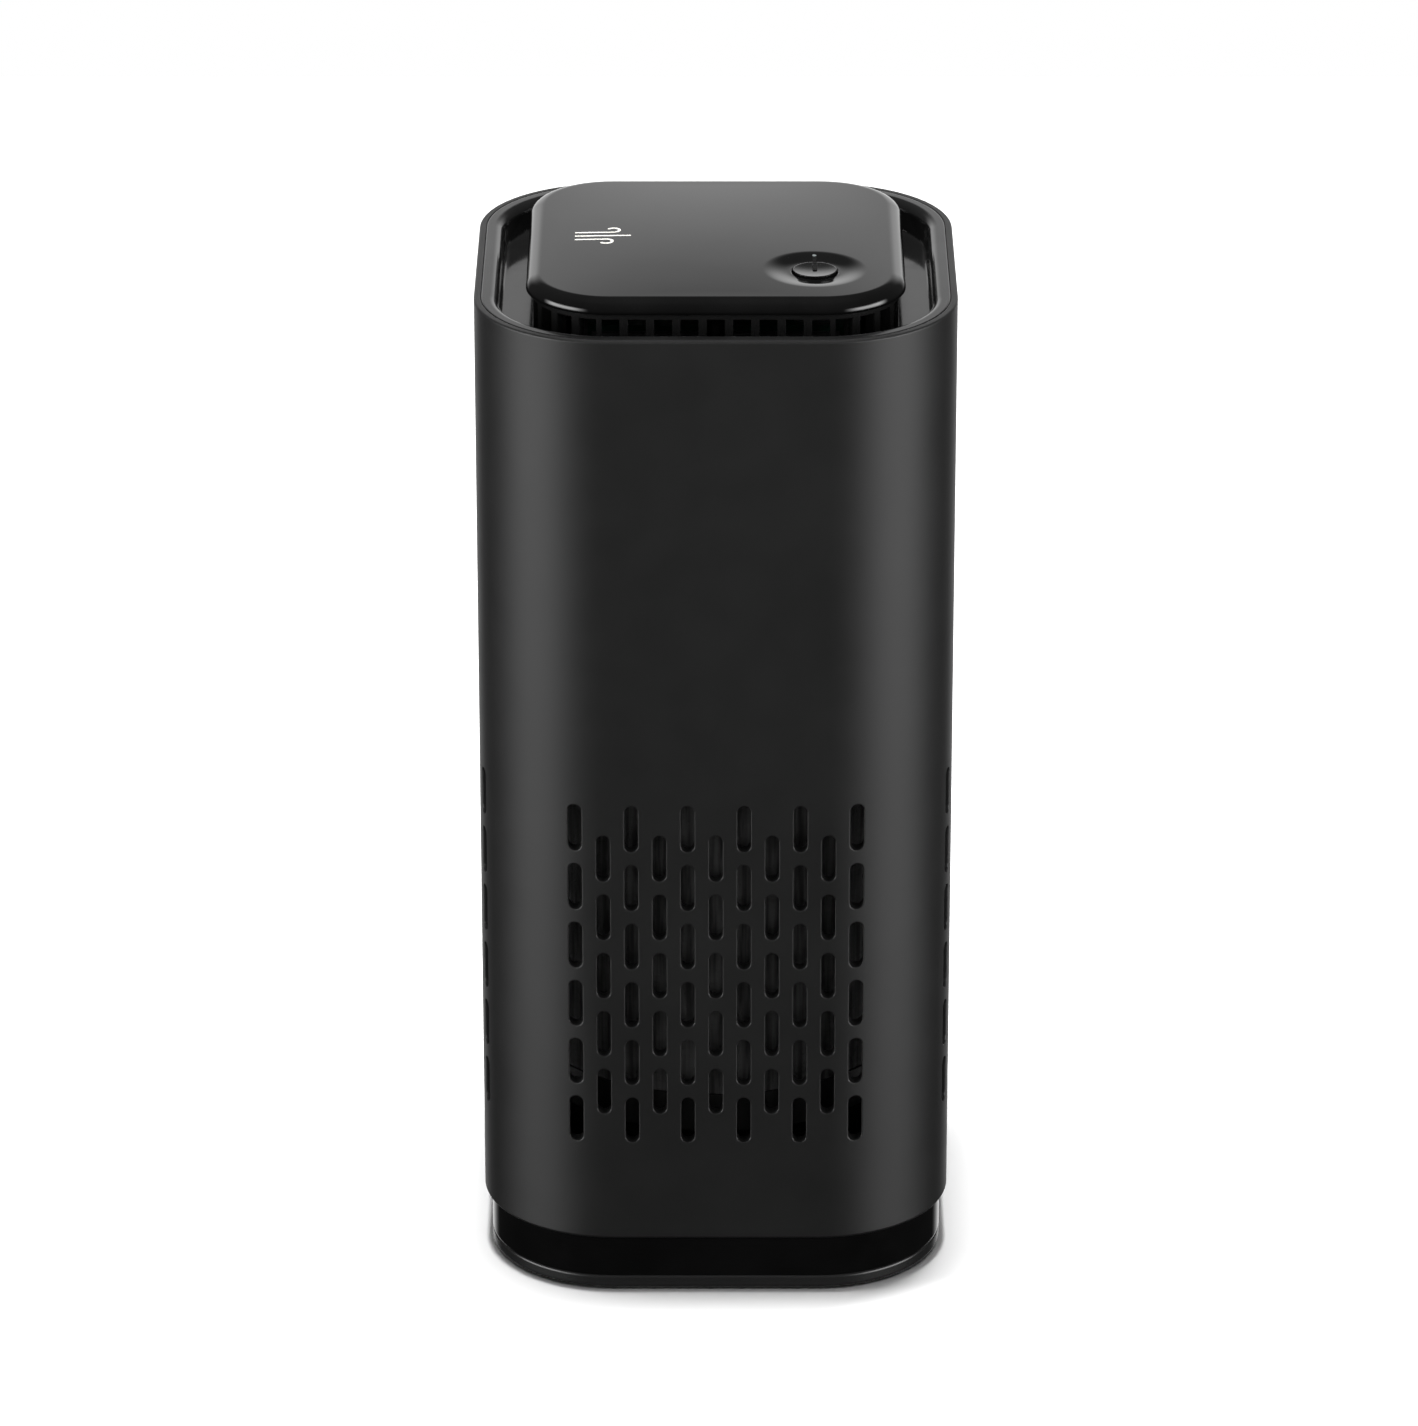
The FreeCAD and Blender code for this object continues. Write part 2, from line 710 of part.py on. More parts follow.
def make_power_button():
    """The button: a dished cap with the bar of the power symbol, and a flange under the cap."""
    place = ("button_x", "button_y")
    shank = cylinder("button_shank", "button_radius", "button_top - button_bottom", *place, "button_bottom")
    flange = cylinder("button_flange", "flange_radius", "vent_top - button_bottom - 0.1", *place,
                      "button_bottom")
    whole = fuse("button_whole", shank, flange)
    ball = doc.addObject("Part::Sphere", "button_ball")
    ball_radius = ("( button_radius * button_radius + button_hollow * button_hollow )"
                   " / ( 2 * button_hollow )")
    bind(ball, Radius=ball_radius)
    bind(ball, Placement__Base__x="button_x", Placement__Base__y="button_y")
    bind(ball, Placement__Base__z=f"button_top - button_hollow + {ball_radius}")
    bar = block("button_bar", "mark_width", "button_radius + 1", "2", "button_x",
                "button_y + ( button_radius + 1 ) / 2", "button_top - button_hollow - mark_depth")
    return keep(cut("button_cut", whole, ball, bar), "power_button")


# ---------------------------------------------------------------- base

def make_base_cover():
    """The gloss base: a block hollow from below, with a collar that enters the housing."""
    body = new_body("base", "lip_top")
    corner = "corner - half_width + base_half"
    block_sketch = sketch_on(body, "base_section")
    add_rounded_square(block_sketch, "outer", "base_half", corner)
    pad(body, block_sketch, "base_top - lip_top")
    collar = sketch_on(body, "base_collar", offset="base_top - lip_top")
    reach = "half_width - wall - collar_gap"
    reach_corner = "corner - wall - collar_gap"
    add_rounded_square(collar, "outer", reach, reach_corner)
    add_rounded_square(collar, "inner", f"{reach} - collar_wall", f"{reach_corner} - collar_wall")
    pad(body, collar, "collar_top - base_top")
    groove = sketch_on(body, "seal_groove", offset="seal_bottom - lip_top")
    add_rounded_square(groove, "outer", f"{reach} + 1", f"{reach_corner} + 1")
    add_rounded_square(groove, "inner", f"{reach} - seal_sink", f"{reach_corner} - seal_sink")
    pocket(body, groove, "seal_height", reverse=True)
    hollow = sketch_on(body, "base_hollow")
    add_rounded_square(hollow, "hollow", "base_half - base_wall", f"{corner} - base_wall")
    pocket(body, hollow, "base_top - lip_top - base_wall", reverse=True)
    post = sketch_on(body, "base_post")
    add_circle(post, "post", "post_radius", "base_screw_place")
    four_times(body, pad(body, post, "base_top - lip_top - base_wall / 2"))
    pilot = sketch_on(body, "base_pilot")
    add_circle(pilot, "pilot", "screw", "base_screw_place")
    four_times(body, pocket(body, pilot, "base_screw_length + 0.5", reverse=True))
    return keep(body, "base_cover")


def make_bottom_plate():
    """The lip at the bottom, with seats for the feet and the screws."""
    body = new_body("bottom", "foot_proud")
    section = sketch_on(body, "bottom_section")
    add_rounded_square(section, "outer", "base_half", "corner - half_width + base_half")
    plate = pad(body, section, "lip_top - foot_proud")
    round_edges(body, plate, "lip_edge", lambda edge: edge.BoundBox.ZLength < 1e-4)
    feet = sketch_on(body, "foot_seats")
    add_circle(feet, "seat", "foot_radius", "foot_place", "foot_place")
    four_times(body, pocket(body, feet, "foot_sink", reverse=True))
    heads = sketch_on(body, "screw_heads")
    add_circle(heads, "head", "sink_radius", "base_screw_place")
    four_times(body, pocket(body, heads, "screw_sink", reverse=True))
    holes = sketch_on(body, "screw_holes")
    add_circle(holes, "hole", "screw", "base_screw_place")
    four_times(body, pocket(body, holes, "lip_top", reverse=True))
    return keep(body, "bottom_plate")


def make_rubber_feet():
    """Four round pads let into the bottom plate."""
    pads = []
    for number, (x, y) in enumerate(four_places("foot_place")):
        pads.append(cylinder(f"foot_{number}", "foot_radius", "foot_proud + foot_sink", x, y))
    return keep(group("feet_group", pads), "rubber_feet")


def make_base_seal():
    """The rubber ring in the collar's groove, which grips the housing's inner wall."""
    body = new_body("seal", "seal_bottom")
    section = sketch_on(body, "seal_section")
    add_rounded_square(section, "outer", "half_width - wall - seal_gap", "corner - wall - seal_gap")
    inner = "half_width - wall - collar_gap - seal_sink"
    add_rounded_square(section, "inner", inner, "corner - wall - collar_gap - seal_sink")
    pad(body, section, "seal_height")
    return keep(body, "base_seal")


def make_filter_seat():
    """The drum on the base that carries the filter, with a spigot for the filter's core."""
    height = "filter_bottom - base_top"
    drum = cylinder("seat_drum", "seat_radius", height, z="base_top")
    spigot_outer = "core_inner - spigot_gap"
    spigot = cylinder("seat_spigot", spigot_outer, f"{height} + spigot_rise", z="base_top")
    hollow = cylinder("seat_hollow", "seat_radius - seat_wall", f"{height} - seat_wall + 1",
                      z="base_top - 1")
    bore = cylinder("seat_bore", f"{spigot_outer} - seat_wall", f"{height} + spigot_rise + 2",
                    z="base_top - 1")
    shell = cut("seat_shell", fuse("seat_whole", drum, spigot), hollow, bore)
    sleeve = ring("seat_sleeve", spigot_outer, f"{spigot_outer} - seat_wall",
                  f"{height} + spigot_rise", "base_top")
    ribs = []
    for number in range(4):
        rib = block(f"seat_rib_{number}", "seat_radius - core_inner", "rib_thick", f"{height} - 0.5",
                    x="( seat_radius + core_inner ) / 2 - 1", z="base_top")
        ribs.append(turned(rib, 45 + 90 * number))
    return keep(fuse("seat_all", shell, sleeve, *ribs), "filter_seat")


# ---------------------------------------------------------------- filter

def make_filter_cap(label, low, skirt_up):
    """A round end cap whose skirt holds the ends of the filter's layers."""
    outside = cylinder(label + "_outside", "filter_radius", "cap_skirt", z=low)
    bore = cylinder(label + "_bore", "core_inner", "cap_skirt + 2", z=f"{low} - 1")
    well_z = f"{low} + cap_thick" if skirt_up else f"{low} - 1"
    well = cylinder(label + "_well", "filter_radius - cap_wall", "cap_skirt - cap_thick + 1", z=well_z)
    return keep(cut(label + "_cut", outside, bore, well), label)


def pleat_outline(tip, valley, count, height):
    """A closed zigzag wire round the axis."""
    points = []
    for index in range(2 * count):
        angle = math.pi * index / count
        radius = tip if index % 2 == 0 else valley
        points.append(FreeCAD.Vector(radius * math.cos(angle), radius * math.sin(angle), height))
    return Part.makePolygon(points + [points[0]])


def make_filter_media():
    """The pleated paper: one folded sheet that runs round the filter."""
    low = value("filter_bottom + cap_thick")
    height = value("filter_top - filter_bottom - 2 * cap_thick")
    web = value("pleat_web")
    tip = value("pleat_outer")
    valley = value("pleat_inner")
    count = int(value("pleats"))
    outer = Part.Face(pleat_outline(tip, valley + web, count, low))
    inner = Part.Face(pleat_outline(tip - web, valley, count, low))
    shape = outer.cut(inner).extrude(FreeCAD.Vector(0, 0, height))
    return keep(solid_feature("media", shape), "filter_media")


def make_filter_layers():
    """The mesh round the pleats, the carbon sleeve inside them and the foam ring on top."""
    low = "filter_bottom + cap_thick"
    height = "filter_top - filter_bottom - 2 * cap_thick"
    mesh_outer = "filter_radius - cap_wall"
    keep(ring("mesh", mesh_outer, f"{mesh_outer} - mesh_thick", height, low), "filter_mesh")
    keep(ring("sleeve", "sleeve_outer", "core_outer + 0.1", height, low), "carbon_sleeve")
    gasket_height = "plate_bottom - gasket_gap - filter_top"
    keep(ring("gasket", "filter_radius - 1", "filter_radius - 1 - gasket_width", gasket_height,
              "filter_top"), "filter_gasket")


def make_filter_core():
    """The stiff inner tube, with rows of air holes."""
    low = "filter_bottom + cap_thick"
    height = "filter_top - filter_bottom - 2 * cap_thick"
    tube = ring("core_tube", "core_outer - 0.2", "core_inner", height, low)
    holes = []
    count = int(value("core_holes_round"))
    for level in range(int(value("core_hole_levels"))):
        for turn in range(count):
            hole = doc.addObject("Part::Cylinder", f"core_hole_{level}_{turn}")
            bind(hole, Radius="core_hole", Height="2 * core_outer + 4")
            angle = (turn + level % 2 / 2) * 180 / count
            spin = FreeCAD.Rotation(FreeCAD.Vector(0, 0, 1), angle)
            tip_over = FreeCAD.Rotation(FreeCAD.Vector(0, 1, 0), 90)
            direction = spin.multVec(FreeCAD.Vector(1, 0, 0))
            rise = value("core_hole_first") + level * value("core_hole_rise")
            start = direction * -value("core_outer + 2") + FreeCAD.Vector(0, 0, rise)
            hole.Placement = FreeCAD.Placement(start, spin.multiply(tip_over))
            holes.append(hole)
    return keep(cut("core_cut", tube, *holes), "filter_core")


# ---------------------------------------------------------------- fan

# the two posts that carry the inlet's card
CARD_SIDES = (("left", "-1 * card_post_x"), ("right", "card_post_x"))


def make_fan_plate():
    """The plate that parts the filter chamber from the fan, screwed to the housing's bosses."""
    body = new_body("plate", "plate_bottom")
    reach = "half_width - wall - plate_gap"
    section = sketch_on(body, "plate_section")
    add_rounded_square(section, "outer", reach, "corner - wall - plate_gap")
    add_circle(section, "inlet", "inlet_radius")
    pad(body, section, "plate_top - plate_bottom")
    posts = sketch_on(body, "socket_posts", offset="plate_top - plate_bottom")
    for name, x in CARD_SIDES:
        add_circle(posts, name, "card_post", x, "card_post_y")
    pad(body, posts, "socket_height - card_thick - plate_top")
    pilots = sketch_on(body, "socket_pilots", offset="socket_height - card_thick - plate_bottom")
    for name, x in CARD_SIDES:
        add_circle(pilots, name, "card_screw", x, "card_post_y")
    pocket(body, pilots, "card_screw_length - 0.5")
    for name, radius, reach in (("corner_holes", "screw", "boss_place"),
                                ("fan_holes", "fan_screw", "fan_hole_place")):
        holes = sketch_on(body, name, offset="plate_top - plate_bottom")
        add_circle(holes, "hole", radius, reach, reach)
        four_times(body, pocket(body, holes, "plate_top - plate_bottom + 1"))
    return keep(body, "fan_plate")


def make_fan_frame():
    """The square fan frame: a round bore, four struts and the motor plate with its tube."""
    height = "fan_top - fan_bottom"
    body = new_body("frame", "fan_bottom")
    section = sketch_on(body, "frame_section")
    add_rounded_square(section, "outer", "fan_half", "fan_corner")
    add_circle(section, "bore", "fan_bore")
    pad(body, section, height)
    plate_height = "fan_top - motor_plate_bottom"
    plate = cylinder("motor_plate", "motor_plate_radius", plate_height, z="motor_plate_bottom")
    struts = []
    for number in range(4):
        strut = block(f"strut_{number}", "fan_bore - motor_plate_radius + 2", "strut_width", plate_height,
                      x="( fan_bore + motor_plate_radius ) / 2", z="motor_plate_bottom")
        struts.append(turned(strut, 20 + 90 * number))
    tube = cylinder("bearing_tube", "tube_outer", "fan_top - tube_bottom", z="tube_bottom")
    whole = fuse("frame_whole", body, plate, tube, *struts)
    bore = cylinder("tube_bore", "tube_inner", "fan_top - tube_bottom", z="tube_bottom - 1")
    holes = []
    for number, (x, y) in enumerate(four_places("fan_hole_place")):
        holes.append(cylinder(f"fan_hole_{number}", "fan_hole", f"{height} + 2", x, y, "fan_bottom - 1"))
    return keep(cut("frame_cut", whole, bore, *holes), "fan_frame")


def blade_section(radius, half_turn, half_rise, middle):
    """One closed section of a blade: a thin slanted strip, bowed a little, at a radius."""
    thick = value("blade_thick")
    along = FreeCAD.Vector(0, half_turn, half_rise)
    across = FreeCAD.Vector(0, -half_rise, half_turn).normalize()
    centre = FreeCAD.Vector(radius, 0, middle)
    bow = across * value("blade_bow")
    lower = Part.Arc(centre - along, centre + bow, centre + along)
    upper = Part.Arc(centre + along + across * thick, centre + bow + across * thick,
                     centre - along + across * thick)
    ends = [
        Part.LineSegment(centre + along, centre + along + across * thick),
        Part.LineSegment(centre - along + across * thick, centre - along),
    ]
    return Part.Wire([lower.toShape(), ends[0].toShape(), upper.toShape(), ends[1].toShape()])


def make_impeller():
    """The hub cup with its blades; the closed face of the cup looks down at the filter."""
    low = value("hub_bottom")
    high = value("hub_top")
    tip = value("blade_tip")
    hub = value("hub_outer")
    middle = (low + high) / 2 - 0.4
    sections = [
        blade_section(hub - 1.2, 3.4, 5.6, middle),
        blade_section((hub + tip) / 2, 5.2, 5.0, middle),
        blade_section(tip + 2, 6.8, 4.2, middle),
    ]
    blade = Part.makeLoft(sections, True, False)
    limit = Part.makeCylinder(tip, high - low, FreeCAD.Vector(0, 0, low))
    hub_core = Part.makeCylinder(hub - 0.5, high - low, FreeCAD.Vector(0, 0, low))
    blade = blade.common(limit.cut(hub_core))
    cup = Part.makeCylinder(hub, high - low, FreeCAD.Vector(0, 0, low))
    cup = cup.makeFillet(1.5, [edge for edge in cup.Edges if at_height(low)(edge)])
    floor = low + value("hub_floor")
    hollow = Part.makeCylinder(value("hub_inner"), high - floor + 1, FreeCAD.Vector(0, 0, floor))
    cup = cup.cut(hollow)
    boss = Part.makeCylinder(value("shaft_boss"), 2.6, FreeCAD.Vector(0, 0, low + 0.2))
    cup = cup.fuse(boss)
    count = int(value("blades"))
    blades = []
    for number in range(count):
        copy = blade.copy()
        copy.rotate(FreeCAD.Vector(), FreeCAD.Vector(0, 0, 1), 360 * number / count)
        blades.append(copy)
    shape = cup.fuse(blades)
    shaft_hole = Part.makeCylinder(value("shaft_radius"), 6, FreeCAD.Vector(0, 0, low + 0.6))
    shape = shape.cut(shaft_hole).removeSplitter()
    return keep(solid_feature("impeller_solid", shape), "impeller")


def make_motor():
    """The fan's motor: yoke, magnet and shaft turn; bearings, stator, coils and board stay."""
    floor = "hub_bottom + hub_floor"
    keep(ring("yoke", "hub_inner", "yoke_inner", f"hub_top - 0.4 - ( {floor} )", floor), "rotor_yoke")
    keep(ring("magnet", "yoke_inner", "magnet_inner", "magnet_height", f"{floor} + 2.6"), "rotor_magnet")
    keep(cylinder("shaft", "shaft_radius", "fan_top - 1.4 - hub_bottom - 0.6", z="hub_bottom + 0.6"),
         "fan_shaft")
    bore = "shaft_radius + shaft_play"
    bearings = [
        ring("lower_bearing", "tube_inner", bore, "bearing_height", "tube_bottom + 0.4"),
        ring("upper_bearing", "tube_inner", bore, "bearing_height", "tube_bottom + 9.5"),
    ]
    keep(group("bearing_group", bearings), "bearings")
    core_low = "tube_bottom + 2"
    hub = ring("hub_ring", "stator_hub", "tube_outer", "stator_height", core_low)
    shoe_inner = "stator_radius - shoe_thick"
    shoes = ring("stator_shoes", "stator_radius", shoe_inner, "stator_height", core_low)
    arm_start = "stator_hub - 0.4"
    arm_end = f"{shoe_inner} + 0.5"
    gaps = []
    arms = []
    coils = []
    for number in range(4):
        gap = block(f"shoe_gap_{number}", "stator_radius", "shoe_gap", "stator_height + 2",
                    x="stator_radius", z=f"{core_low} - 1")
        gaps.append(turned(gap, 45 + 90 * number))
        arm = block(f"arm_{number}", f"{arm_end} - ( {arm_start} )", "arm_width", "stator_height",
                    x=f"( {arm_end} + {arm_start} ) / 2", z=core_low)
        arms.append(turned(arm, 90 * number))
        coil = block(f"coil_{number}", "coil_thick", "coil_width", "stator_height + 2 * coil_proud",
                     x="coil_place", z=f"{core_low} - coil_proud")
        space = block(f"coil_space_{number}", "2 * coil_thick", "arm_width", "stator_height",
                      x="coil_place", z=core_low)
        coils.append(turned(cut(f"coil_cut_{number}", coil, space), 90 * number))
    split = cut("stator_split", shoes, *gaps)
    keep(fuse("stator_whole", hub, split, *arms), "stator_core")
    keep(group("coil_group", coils), "stator_coils")
    keep(ring("motor_card", "motor_card_radius", "tube_outer", "motor_card_thick",
              "tube_bottom + 10.6"), "motor_board")
    clip = ring("clip_ring", "clip_radius", "shaft_radius", "clip_thick", "tube_bottom + 12.2")
    opening = block("clip_opening", "2 * clip_radius", "clip_mouth", "2", x="clip_radius",
                    z="tube_bottom + 11.4")
    keep(cut("clip_cut", clip, opening), "shaft_clip")


def make_fan_pads():
    """Rubber rings between the fan and its plate."""
    pads = []
    for number, (x, y) in enumerate(four_places("fan_hole_place")):
        pads.append(ring(f"pad_{number}", "pad_radius", "fan_hole", "fan_bottom - plate_top",
                         "plate_top", x, y))
    return keep(group("pads_group", pads), "fan_pads")


def make_air_duct():
    """The square duct from the fan to the vent ring, with a round opening in its foot."""
    body = new_body("duct", "fan_top")
    foot = sketch_on(body, "duct_foot")
    add_rounded_square(foot, "outer", "duct_half + 1", "duct_corner + 1")
    add_circle(foot, "opening", "fan_bore")
    pad(body, foot, "duct_foot")
    walls = sketch_on(body, "duct_walls", offset="duct_foot")
    add_rounded_square(walls, "outer", "duct_half", "duct_corner")
    add_rounded_square(walls, "inner", "duct_half - duct_wall", "duct_corner - duct_wall")
    pad(body, walls, "duct_top - fan_top - duct_foot")
    holes = sketch_on(body, "duct_holes", offset="duct_foot")
    add_circle(holes, "hole", "fan_hole", "fan_hole_place", "fan_hole_place")
    four_times(body, pocket(body, holes, "2 * duct_foot"))
    passage = sketch_on(body, "lead_passage", "XZ_Plane")
    add_circle(passage, "passage", "lead_radius + 0.5", "lead_x", "lead_turn - fan_top")
    pocket(body, passage, "half_width")
    return keep(body, "air_duct")


# ---------------------------------------------------------------- electronics

def make_control_board():
    """The board under the cap, and what is soldered to it."""
    deck = "board_bottom + board_thick"
    board = block("board", "2 * board_half", "2 * board_half", "board_thick", z="board_bottom")
    keep(board, "control_board")
    chip = block("chip", "6", "5", "1.4", "-4", "-6", deck)
    coil = block("coil_block", "5", "5", "2.2", "4", "4", deck)
    can = cylinder("can", "2.1", "3.8", "-10", "-13", deck)
    keep(group("parts_group", [chip, coil, can]), "board_components")
    plugs = [
        block("power_plug", "plug_length", "plug_width", "plug_height", "lead_x",
              "board_half - plug_inset", deck),
        block("fan_plug", "plug_width", "plug_length", "plug_height",
              "-1 * ( board_half - plug_inset )", "fan_lead_y", deck),
    ]
    keep(group("plugs_group", plugs), "lead_connectors")
    lamp_place = "button_y + pipe_place"
    keep(block("led", "1.6", "0.8", "0.7", "button_x", lamp_place, deck), "button_led")
    pipe_low = f"{deck} + 0.8"
    pipe = cylinder("pipe", "pipe_radius", f"panel_top - dish_depth - mark_depth - ( {pipe_low} )",
                    "button_x", lamp_place, pipe_low)
    keep(pipe, "light_pipe")
    case = block("switch_case", "switch_side", "switch_side", "switch_height", "button_x", "button_y",
                 deck)
    well = cylinder("switch_well", "plunger_radius + 0.3", "switch_height", "button_x", "button_y",
                    f"{deck} + 1")
    keep(cut("switch_cut", case, well), "switch_body")
    low = f"{deck} + 1.7"
    plunger = cylinder("plunger", "plunger_radius", f"button_bottom - ( {low} )", "button_x",
                       "button_y", low)
    keep(plunger, "switch_plunger")


def make_board_tray():
    """The tray that holds the board and spreads the air to the sides; its arms meet the posts."""
    body = new_body("tray", "tray_bottom")
    section = sketch_on(body, "tray_section")
    height = "board_bottom + tray_lip - tray_bottom"
    add_rounded_square(section, "outer", "board_half + tray_rim", "tray_corner")
    base = pad(body, section, height)
    round_edges(body, base, "tray_edge", at_height(0))
    hollow = sketch_on(body, "tray_hollow", offset=height)
    add_rounded_square(hollow, "inner", "board_half - 1", "tray_corner - 2")
    pocket(body, hollow, f"{height} - tray_floor")
    seat = block("tray_seat", "2 * board_half", "2 * board_half", "board_thick + tray_lip",
                 z="board_bottom")
    arms = []
    for number in range(4):
        arm = block(f"tray_arm_{number}", "arm_length", "arm_across", "post_end - tray_bottom",
                    x="post_place - 0.5", z="tray_bottom")
        arms.append(turned(arm, 90 * number))
    whole = fuse("tray_whole", cut("tray_seated", body, seat), *arms)
    holes = []
    for number, (x, y) in enumerate(four_places("post_place", diagonal=False)):
        holes.append(cylinder(f"tray_hole_{number}", "tray_screw", "tray_screw_length", x, y,
                              "tray_bottom - 1"))
    return keep(cut("tray_cut", whole, *holes), "board_tray")


def make_power_inlet():
    """The socket at the rear, on its own small board above the fan plate."""
    card = block("card", "20", "6.5", "card_thick", "2", "card_post_y + 0.5", "socket_height - card_thick")
    holes = []
    for name, x in CARD_SIDES:
        holes.append(cylinder(f"card_hole_{name}", "card_screw", "card_screw_length", x, "card_post_y",
                              "socket_height - card_screw_length + 1"))
    keep(cut("card_cut", card, *holes), "power_board")
    shell_body = new_body("socket", "0")
    section = sketch_on(shell_body, "socket_section", "XZ_Plane")
    middle = "socket_height + socket_middle"
    add_slot(section, "shell", "shell_height", "shell_width", "0", middle, upright=False)
    pad(shell_body, section, "shell_length")
    bind(shell_body, Placement__Base__y="half_width - 0.5")
    hollow = sketch_on(shell_body, "socket_hollow", "XZ_Plane")
    add_slot(hollow, "mouth", "mouth_height", "mouth_width", "0", middle, upright=False)
    pocket(shell_body, hollow, "mouth_depth", reverse=True)
    tongue_y = "half_width - 0.5 - mouth_depth - 0.5 + tongue_length / 2"
    tongue = block("socket_tongue", "tongue_width", "tongue_length", "tongue_thick", "0", tongue_y,
                   f"{middle} - tongue_thick / 2")
    return keep(fuse("socket_whole", shell_body, tongue), "power_socket")


def tube_along(points, radius):
    """A round tube along straight runs joined by tangent arcs."""
    edges = []
    place = points[0]
    for before, corner, after in zip(points, points[1:], points[2:]):
        back = (before - corner)
        ahead = (after - corner)
        turn = math.pi - back.getAngle(ahead)
        trim = 0.45 * min(back.Length, ahead.Length)
        bend = trim / math.tan(turn / 2)
        start = corner + back.normalize() * trim
        end = corner + ahead.normalize() * trim
        middle_way = (back + ahead).normalize()
        centre_reach = math.hypot(trim, bend)
        middle = corner + middle_way * (centre_reach - bend)
        edges.append(Part.LineSegment(place, start).toShape())
        edges.append(Part.Arc(start, middle, end).toShape())
        place = end
    edges.append(Part.LineSegment(place, points[-1]).toShape())
    path = Part.Wire(edges)
    direction = points[1] - points[0]
    section = Part.Wire(Part.makeCircle(radius, points[0], direction))
    tube = path.makePipeShell([section], True, True)
    expected = math.pi * radius ** 2 * path.Length
    if abs(tube.Volume / expected - 1) > 0.01:
        raise RuntimeError("a lead's volume is not its section times its length")
    return tube


def make_leads():
    """The two inner leads that end in the board's connectors."""
    radius = value("lead_radius")
    plug_middle = value("board_bottom + board_thick + plug_height / 2")
    side = value("lead_x")
    back = value("lead_y")
    turn = value("lead_turn")
    inner = value("lead_in")
    plug_face = value("board_half - plug_inset + plug_width / 2")
    start = -7
    power_route = [
        FreeCAD.Vector(side, back, value("socket_height")),
        FreeCAD.Vector(side, back, turn),
        FreeCAD.Vector(side, inner, turn),
        FreeCAD.Vector(side, inner, plug_middle),
        FreeCAD.Vector(side, plug_face, plug_middle),
    ]
    keep(solid_feature("power_wire", tube_along(power_route, radius)), "power_lead")
    across = value("fan_lead_y")
    fan_high = value("fan_top + duct_foot + 2.6")
    fan_route = [
        FreeCAD.Vector(start, across, value("fan_top")),
        FreeCAD.Vector(start, across, fan_high),
        FreeCAD.Vector(-inner - 0.8, across, fan_high),
        FreeCAD.Vector(-inner - 0.8, across, plug_middle),
        FreeCAD.Vector(-plug_face, across, plug_middle),
    ]
    keep(solid_feature("fan_wire", tube_along(fan_route, radius)), "fan_lead")


# ---------------------------------------------------------------- screws

def make_screws():
    """Every group of screws."""
    screws("base_screws", four_places("base_screw_place", diagonal=False), "screw_head",
           "screw_head_height", "screw", "base_screw_length", "foot_proud + screw_sink", upward=True)
    screws("plate_screws", four_places("boss_place"), "screw_head",
           "screw_head_height", "screw", "plate_screw_length", "plate_top", upward=False)
    screws("fan_screws", four_places("fan_hole_place"), "fan_screw_head",
           "1.6", "fan_screw", "fan_screw_length", "fan_top + duct_foot", upward=False)
    screws("tray_screws", four_places("post_place", diagonal=False), "tray_screw_head",
           "screw_head_height", "tray_screw", "tray_screw_length", "tray_bottom", upward=True)
    screws("power_board_screws", [(x, "card_post_y") for _, x in CARD_SIDES], "card_screw_head",
           "0.8", "card_screw", "card_screw_length", "socket_height", upward=False)


# ---------------------------------------------------------------- build and write

def check_everything():
    """Stops if any object failed or any sub-part has no valid shape."""
    for item in doc.Objects:
        if "Invalid" in item.State or "Error" in item.State:
            raise RuntimeError(f"{item.Name} ({item.Label}) failed: {item.State}")
    for item in sub_parts:
        if item.Shape.isNull() or not item.Shape.isValid() or not item.Shape.Solids:
            raise RuntimeError(f"{item.Label} has no valid solid")


def main():
    fill_sheet()
    make_housing()
    make_trim_ring()
    make_vent_ring()
    make_top_panel()
    make_power_button()
    make_base_cover()
    make_bottom_plate()
    make_rubber_feet()
    make_base_seal()
    make_filter_seat()
    make_filter_cap("filter_bottom_cap", "filter_bottom", skirt_up=True)
    make_filter_cap("filter_top_cap", "filter_top - cap_skirt", skirt_up=False)
    make_filter_media()
    make_filter_layers()
    make_filter_core()
    make_fan_plate()
    make_fan_frame()
    make_impeller()
    make_motor()
    make_fan_pads()
    make_air_duct()
    make_control_board()
    make_board_tray()
    make_power_inlet()
    make_leads()
    make_screws()
    doc.recompute()
    check_everything()
    os.makedirs("parts", exist_ok=True)
    for item in sub_parts:
        item.Shape.exportStep(f"parts/{item.Label}.step")
        print(item.Label, len(item.Shape.Solids), "solids", round(item.Shape.Volume, 1), "mm3")


main()
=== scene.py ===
import math

import bpy
import numpy as np
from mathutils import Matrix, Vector
from mathutils.geometry import delaunay_2d_cdt


